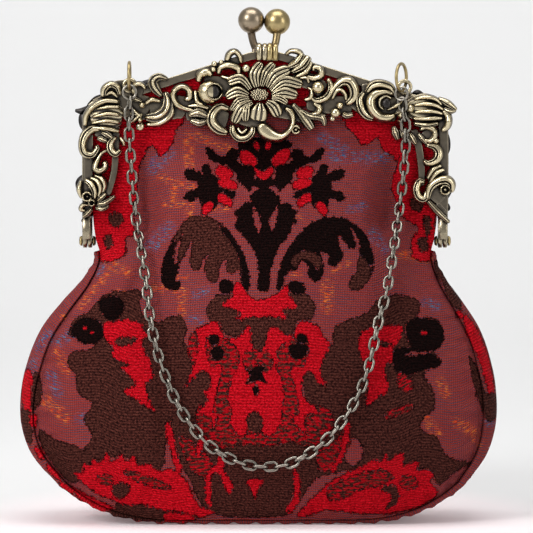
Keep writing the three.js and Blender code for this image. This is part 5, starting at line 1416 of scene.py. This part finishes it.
def bar_profile():
    """The bar's section as inset from the outside and depth ahead of the bag's middle plane."""
    return [
        (0.0, INNER_FACE), (0.0, WEB_FRONT - 0.5), (0.06, WEB_FRONT - 0.2), (0.2, WEB_FRONT - 0.05),
        (0.35, WEB_FRONT), (0.6, WEB_FRONT), (BAR_FACE / 2, WEB_FRONT), (BAR_FACE - 0.5, WEB_FRONT),
        (BAR_FACE - 0.2, WEB_FRONT - 0.05), (BAR_FACE, WEB_FRONT - 0.3), (BAR_FACE, WEB_BACK),
        (BAR_WALL, WEB_BACK), (BAR_WALL, BACK_WALL), (BAR_FACE, BACK_WALL), (BAR_FACE, INNER_FACE),
    ]


def add_bar(parts):
    profile = bar_profile()
    shares = np.linspace(0, 1, BAR_STATIONS)
    grid = []
    for inset, depth in profile:
        line = along_path(arch_line(inset, ARM_END), shares)
        grid.append(np.stack([line[:, 0], np.full(BAR_STATIONS, -depth), line[:, 1]], -1))
    grid = np.stack(grid, 1)
    edge = np.array([0.35, 0.5, 0.8, 0.85, 0.6, 0.36, 0.34, 0.36, 0.6, 0.6, 0.1, 0.0, 0.0, 0.1, 0.3])
    grid_part(parts, grid, edge[None], wrap=True, caps=True)


LUG_THICKNESS = 2.0
LUG_RADIUS = 3.2


def add_lug(parts, sign):
    outside = HALF_WIDTH if sign < 0 else HALF_WIDTH - LUG_THICKNESS - PIECE_GAP
    outline = [(-INNER_FACE, ARM_END + 1), (-WEB_FRONT + 0.3, ARM_END + 1)]
    for angle in np.linspace(math.pi, 2 * math.pi, 16):
        outline.append((LUG_RADIUS * math.cos(angle), HINGE_HEIGHT + LUG_RADIUS * math.sin(angle)))
    outline.append((LUG_RADIUS * 0.6, HINGE_HEIGHT + 3.5))
    outline = np.array(outline)
    rows = []
    for offset, shrink in ((0, 0.92), (0.25, 1), (LUG_THICKNESS - 0.25, 1), (LUG_THICKNESS, 0.92)):
        middle = np.array([-1.5, HINGE_HEIGHT + 4])
        shape = middle + (outline - middle) * shrink
        rows.append([(sign * (outside - offset), y, z) for y, z in shape])
    grid_part(parts, np.array(rows), 0.6, wrap=True, caps=True)
    half = LUG_SPAN / 2
    bridge = []
    for z in (ARM_END - 1, ARM_END - 0.7, ARM_END + 0.7, ARM_END + 1):
        shrink = 0.3 if z in (ARM_END - 1, ARM_END + 1) else 0
        x0, x1 = sign * (HALF_WIDTH - half) - half + shrink, sign * (HALF_WIDTH - half) + half - shrink
        y0, y1 = -INNER_FACE - shrink, -WEB_FRONT + shrink
        bridge.append([(x0, y0, z), (x1, y0, z), (x1, y1, z), (x0, y1, z)])
    grid_part(parts, np.array(bridge), 0.5, wrap=True, caps=True)


def add_arm_plate(parts, sign):
    """The flat strip of the arm beside the cloth, down to the lug."""
    x0, x1 = sign * HALF_WIDTH, sign * (HALF_WIDTH - BAR_FACE)
    rows = []
    for depth, shrink in ((WEB_FRONT - 1, 0), (WEB_FRONT - 0.2, 0), (WEB_FRONT + 0.1, 0.3)):
        low, high = ARM_END - 10.2 + shrink, ARM_END + 2
        a, b = x0 - sign * shrink, x1 + sign * shrink
        rows.append([(a, -depth, low), (b, -depth, low), (b, -depth, high), (a, -depth, high)])
    grid_part(parts, np.array(rows), 0.6, wrap=True, caps=True)


EYELET_RADIUS = 2.8
EYELET_WIRE = 0.85
EYELET_DEPTH = WEB_FRONT + 0.55
EYELET_ACROSS = {"left": -62.0, "right": 64.0}


def add_eyelet(parts, x):
    height = PEAK_HEIGHT - abs(x) * math.tan(BAR_SLOPE) + EYELET_RADIUS - 0.75
    angles = np.linspace(0, 2 * math.pi, 30, endpoint=False)
    path = np.stack([x + EYELET_RADIUS * np.cos(angles), np.full(30, -EYELET_DEPTH),
                     height + EYELET_RADIUS * np.sin(angles)], -1)
    tube(parts, path, EYELET_WIRE, 12, 0.8, closed=True)


# The flat backing between the castings: places and half widths in the photograph's pixels
WEB_STRIPS = [
    [(94, 108, 9), (112, 104, 12), (132, 104, 12), (150, 108, 12)],
    [(150, 110, 9), (164, 108, 11), (178, 108, 10), (186, 112, 7)],
    [(106, 88, 5), (124, 86, 7), (144, 92, 8)], [(176, 99, 5), (190, 102, 6), (206, 104, 7)],
    [(186, 112, 7), (202, 112, 9), (216, 116, 10), (228, 120, 8)],
    [(204, 82, 6), (216, 84, 9), (232, 88, 9)], [(236, 112, 8), (250, 116, 10), (266, 116, 9)],
    [(276, 108, 8), (292, 112, 7), (306, 116, 6)], [(292, 80, 6), (308, 80, 8), (324, 90, 8)],
    [(306, 104, 5), (322, 104, 8), (340, 104, 9), (352, 106, 8)],
    [(352, 98, 8), (366, 104, 11), (382, 106, 13), (398, 110, 11)],
    [(398, 106, 9), (414, 106, 12), (432, 108, 12), (442, 112, 6)],
    [(88, 118, 5), (89, 140, 5), (89, 180, 4.5), (89, 212, 4)],
    [(442, 118, 5), (443, 150, 4.5), (443, 190, 4.5), (443, 214, 4)],
    [(117, 122, 3.6), (116.5, 148, 3.4), (114.5, 172, 3.2), (108, 194, 3)],
    [(413, 128, 3.6), (418, 146, 3.6), (420.5, 166, 3.4), (421, 184, 3)],
    [(92, 190, 8), (100, 196, 8)], [(430, 188, 8), (442, 200, 6)], [(434, 204, 6), (444, 212, 4)],
    [(98, 128, 6), (108, 136, 6)], [(424, 128, 6), (432, 136, 7)], [(360, 88, 5), (384, 88, 7)],
]


# How far the flat backing stands off, each strip a little more than the one before it
WEB_RISE = 0.5
WEB_STEP = 0.03


def over_bar(stations):
    """How far the highest of the places stands over the bar's top."""
    places = frame_place(np.array(stations, float)[:, :2])
    return (places[:, 1] - (PEAK_HEIGHT - np.abs(places[:, 0]) * math.tan(BAR_SLOPE))).max()


def add_flower_heart(parts):
    """The flower's middle: a low dome with seeds set on it in a spiral."""
    x, z = frame_place(FLOWER_MIDDLE)
    ball(parts, (x, -(WEB_FRONT + 2.2), z), 4.3, 0.25, 12, 24, (1, 0.62, 0.68))
    for seed in range(SEEDS):
        reach = math.sqrt((seed + 0.5) / SEEDS)
        turn = seed * GOLDEN_ANGLE
        dx, dz = 3.9 * reach * math.cos(turn), 2.6 * reach * math.sin(turn)
        rise = 2.55 * math.sqrt(1 - 0.8 * reach**2)
        ball(parts, (x + dx, -(WEB_FRONT + 2.3 + rise), z + dz), SEED_RADIUS, 0.95, 6, 8)


def add_collar(parts, across, rub):
    """Two bands that wrap over the bar side by side."""
    for step, radius in COLLAR_BANDS:
        path = [(across + step, -depth, PEAK_HEIGHT - 0.4 + up) for depth, up in COLLAR_BEND]
        tube(parts, curve_through(path, 5), radius, 12, rub)


def make_frame(name, facing):
    parts = Parts()
    add_bar(parts)
    for sign in (-1, 1):
        add_lug(parts, sign)
        add_arm_plate(parts, sign)
    for index, stations in enumerate(WEB_STRIPS):
        if facing < 0 or over_bar(stations) < 0:
            add_ribbon(parts, "flat", WEB_RISE + WEB_STEP * index, stations, 1.0)
    for profile, high, stations in RIBBONS:
        if facing < 0 or over_bar(stations) < 1.5:
            add_ribbon(parts, profile, high, stations)
    for row in RINGS:
        if facing < 0 or over_bar([row[2]]) < -4:
            add_ring(parts, *row)
    for row in KNOBS:
        if facing < 0 or over_bar([row[0]]) < -1:
            add_knob(parts, *row)
    for index, stations in enumerate(PETALS):
        add_petal(parts, index, stations)
    add_flower_heart(parts)
    # Painted shade: a dark dome in each hollow
    for (across, down), wide, tall in SHADED_HOLLOWS:
        x, z = frame_place((across, down))
        ball(parts, (x, -(WEB_FRONT + HOLLOW_RISE), z), SCALE, 0.0, 12, 18, (wide, HOLLOW_DEPTH, tall))
    add_collar(parts, BACK_COLLAR_ACROSS, 0.75)
    if facing < 0:
        for across in EYELET_ACROSS.values():
            add_eyelet(parts, across)
    return parts.finish(name, CAST, "cast_metal", turn=facing > 0)


# Clasp, pins, rings and chain

BALL_RADIUS = 6.05
# How far each ball leans from where its box has it, across and up
BALL_LEAN = {-1: (-0.2, 0.7), 1: (-0.6, -0.1)}
STEM_FOOT = 3.4
STEM_RADIUS = 1.75
STEM_STEPS = 20
# How much of the way to the ball's middle the stem is drawn, and how much it widens at its two ends
STEM_REACH = 0.82
FOOT_FLARE = 0.75
NECK_FLARE = 0.9
# The bead under a ball, as places along the stem and radii
NECK_BEAD = [(-0.5, 1.8), (-0.35, 2.5), (0.1, 2.7), (0.6, 2.5), (0.9, 1.9)]
# The block that joins a stem to the bar: how far under the peak its seat lies, its half width, how far
# it stands over its seat and hangs under it, and how much its corners and its edges are cut
SEAT_DROP = 1.4
BLOCK_HALF_WIDTH = 2.6
BLOCK_RISE = 1.2
BLOCK_DROP = 4.9
BLOCK_CORNER = (0.9, 0.8)
BLOCK_EDGE = (0.35, 0.3)


def add_stem(parts, foot, centre):
    """A stem that bows from its foot to its ball, with a bead under the ball."""
    bow = np.array([mix(foot[0], centre[0], 1.15), foot[1], mix(foot[2], centre[2], 0.3)])
    t = np.linspace(0, STEM_REACH, STEM_STEPS)[:, None]
    path = (1 - t) ** 2 * foot + 2 * t * (1 - t) * bow + t**2 * centre
    share = np.linspace(0, 1, STEM_STEPS)
    at_foot = np.exp(-((share / 0.16) ** 2))
    at_neck = np.exp(-(((share - 1) / 0.14) ** 2))
    tube(parts, path, STEM_RADIUS + FOOT_FLARE * at_foot + NECK_FLARE * at_neck, 20, 0.5)
    lathe(parts, path[-2], path[-1] - path[-2], NECK_BEAD, 24, 0.7)


def add_block(parts, foot, sign):
    """The block at a stem's foot, through the bars' whole depth."""
    deep = WEB_FRONT + PIECE_GAP + 0.9 - INNER_FACE
    edge, run = BLOCK_EDGE
    corner_across, corner_up = BLOCK_CORNER
    rows = []
    for inset, shrink in ((0, edge), (run, 0), (deep - run, 0), (deep, edge)):
        left, right = foot[0] - BLOCK_HALF_WIDTH + shrink, foot[0] + BLOCK_HALF_WIDTH - shrink
        low, top = foot[2] - BLOCK_DROP + shrink, foot[2] + BLOCK_RISE - shrink
        y = -sign * (INNER_FACE + inset)
        rows.append([(left, y, low), (right, y, low), (right, y, top - corner_up),
                     (right - corner_across, y, top), (left + corner_across, y, top),
                     (left, y, top - corner_up)])
    grid_part(parts, np.array(rows), 0.55, wrap=True, caps=True)


def make_clasp(name, sign, material):
    low, high = box(name)
    parts = Parts()
    across, up = BALL_LEAN[sign]
    across += (high[0] - BALL_RADIUS) if sign > 0 else (low[0] + BALL_RADIUS)
    centre = np.array([across, 0.0, high[2] - BALL_RADIUS + up])
    ball(parts, centre, BALL_RADIUS, 0.75, 28, 44)
    foot = np.array([sign * STEM_FOOT, -sign * (INNER_FACE + WEB_FRONT) / 2, PEAK_HEIGHT - SEAT_DROP])
    add_stem(parts, foot, centre)
    add_block(parts, foot, sign)
    if sign > 0:
        add_collar(parts, foot[0], 0.9)
    return parts.finish(name, material, "polished_metal")


PIN_RADIUS = 1.2
HEAD_RADIUS = 2.3
HEAD_THICKNESS = 1.4


def make_pin(side):
    name = side + "_hinge_pin"
    low, high = box(name)
    middle = (low + high) / 2
    half = (high[0] - low[0]) / 2
    parts = Parts()
    head = [(half - HEAD_THICKNESS, PIN_RADIUS), (half - HEAD_THICKNESS, HEAD_RADIUS),
    (half - 0.8, HEAD_RADIUS),
            (half - 0.2, 1.8), (half, 0.9)]
    profile = [(-along, radius) for along, radius in head[::-1]] + head
    lathe(parts, middle, (1, 0, 0), profile, 24, 0.8)
    return parts.finish(name, BRASS, "polished_metal")


def ring_path(centre, radius, turn, flat, count):
    """A ring that stands upright and is turned about the upright axis, or, when flat, faces ahead."""
    angles = np.linspace(0, 2 * math.pi, count, endpoint=False)
    across = radius * np.cos(angles)
    up = radius * np.sin(angles)
    turn = math.radians(turn)
    if flat:
        aside = np.array([math.cos(turn), math.sin(turn), 0])
    else:
        aside = np.array([math.sin(turn), math.cos(turn), 0])
    return np.asarray(centre) + across[:, None] * aside + up[:, None] * np.array([0, 0, 1])


RING_RADIUS = 6.2
RING_WIRE = 0.75
END_LINK_RADIUS = 3.0
END_LINK_WIRE = 0.62
RING_TURN = {"left": 0, "right": 24}


def make_rings(side):
    """The side's jump ring and end link. Gives the middle of the end link."""
    turn = RING_TURN[side]
    rings = [("jump_ring", RING_RADIUS, RING_WIRE, turn, False, 48, 14, BRASS, "polished_metal"),
             ("end_link", END_LINK_RADIUS, END_LINK_WIRE, -turn, True, 40, 12, CHAIN, "chain_metal")]
    for node, radius, wire, turned, flat, steps, sides, material, slot in rings:
        name = f"{side}_{node}"
        low, high = box(name)
        middle = (low + high) / 2
        parts = Parts()
        tube(parts, ring_path(middle, radius, turned, flat, steps), wire, sides, 0.7, closed=True)
        parts.finish(name, material, slot)
    return middle


# The chain's route between its end links, across as a share of the frame's half width and up as a
# share of the height of the end links' lower ends, as the solid has it. Chosen points.
CHAIN_ROUTE = [
    (-0.743, 0.947), (-0.736, 0.883), (-0.725, 0.804), (-0.706, 0.714), (-0.681, 0.644), (-0.654, 0.565),
    (-0.626, 0.466), (-0.576, 0.377), (-0.494, 0.286), (-0.389, 0.215), (-0.263, 0.162), (-0.11, 0.132),
    (0.017, 0.126), (0.149, 0.136), (0.302, 0.177), (0.423, 0.235), (0.512, 0.299), (0.576, 0.376),
    (0.62, 0.467), (0.669, 0.55), (0.708, 0.653), (0.736, 0.744), (0.757, 0.823), (0.769, 0.903),
    (0.764, 0.955),
]
CHAIN_WIDTH = 5.2
CHAIN_CLEARANCE = 0.5
LINK_WIRE = 0.66
LINK_HALF_LENGTH = 3.75
LINK_HALF_WIDTH = 2.6


def surface_ahead(tree, x, z):
    """How far forward the cloth stands round a place on the front, in millimetres."""
    heights = [0.0]
    for aside in (-0.5, 0, 0.5):
        for along in (-1, 0, 1):
            start = Vector((x + aside * CHAIN_WIDTH, -5 * BELLY_DEPTH, z + along * CHAIN_WIDTH)) * METRE
            hit = tree.ray_cast(start, Vector((0, 1, 0)))[0]
            if hit is not None:
                heights.append(-hit.y / METRE)
    return max(heights)


SETTLING_STEPS = 4


def as_seen(points):
    """Chain places moved so that, in front of the cloth, they show where the route has them, but not
    at the ends."""
    share = np.linspace(0, 1, len(points))
    free = smooth(np.minimum(share, 1 - share) / 0.2)[:, None]
    moved = points.copy()
    wanted = frame_place(photo_place(points * [1, 0, 1]))
    for _ in range(SETTLING_STEPS):
        error = wanted - frame_place(photo_place(moved))
        moved[:, [0, 2]] += error
    return mix(points, moved, free)


def link_shape():
    """One link's wire as points round an oval, length first."""
    straight = LINK_HALF_LENGTH - LINK_HALF_WIDTH
    radius = LINK_HALF_WIDTH - LINK_WIRE
    points = []
    for middle, start in ((straight, -math.pi / 2), (-straight, math.pi / 2)):
        for step in range(9):
            angle = start + math.pi * step / 8
            points.append((middle + radius * math.cos(angle), radius * math.sin(angle)))
    return np.array(points)


def make_chain(ends):
    tree = BVHTree.FromObject(front_panel, bpy.context.evaluated_depsgraph_get())
    bottoms = [end - np.array([0, 0, END_LINK_RADIUS - END_LINK_WIRE]) for end in ends]
    points = [bottoms[0]]
    for across, up in CHAIN_ROUTE:
        end = bottoms[0] if across < 0 else bottoms[1]
        x, z = across * HALF_WIDTH, up * (end[2] - 1.5)
        lying = surface_ahead(tree, x, z) + CHAIN_WIDTH / 2 + CHAIN_CLEARANCE
        points.append(np.array([x, -max(-end[1], lying), z]))
    points.append(bottoms[1])
    points = as_seen(np.array(points))
    path = curve_through(points, 24)
    length = np.linalg.norm(np.diff(path, axis=0), axis=1).sum()
    pitch = 2 * (LINK_HALF_LENGTH - 2 * LINK_WIRE)
    count = round(length / pitch)
    stations = along_path(path, (np.arange(count) + 0.5) / count)
    before = along_path(path, np.maximum((np.arange(count)) / count, 0))
    after = along_path(path, (np.arange(count) + 1) / count)
    shape = link_shape()
    sway = np.random.default_rng(5)
    parts = Parts()
    for index in range(count):
        tangent = after[index] - before[index]
        stretch = np.linalg.norm(tangent) / pitch
        tangent /= np.linalg.norm(tangent)
        ahead = np.array([0, -1.0, 0])
        side = np.cross(tangent, ahead)
        side /= np.linalg.norm(side)
        outward = np.cross(side, tangent)
        turn = math.radians((18 if index % 2 else 102) + sway.uniform(-14, 14))
        aside = math.cos(turn) * side + math.sin(turn) * outward
        wire = stations[index] + shape[:, :1] * tangent * max(stretch, 1) + shape[:, 1:] * aside
        tube(parts, wire, LINK_WIRE, 8, 0.65, closed=True)
    return parts.finish("chain", CHAIN, "chain_metal")


make_frame("front_frame", -1)
make_frame("back_frame", 1)
make_clasp("front_clasp", 1, BRASS)
make_clasp("back_clasp", -1, PEWTER)
chain_ends = []
for side in ("left", "right"):
    make_pin(side)
    chain_ends.append(make_rings(side))
make_chain(chain_ends)
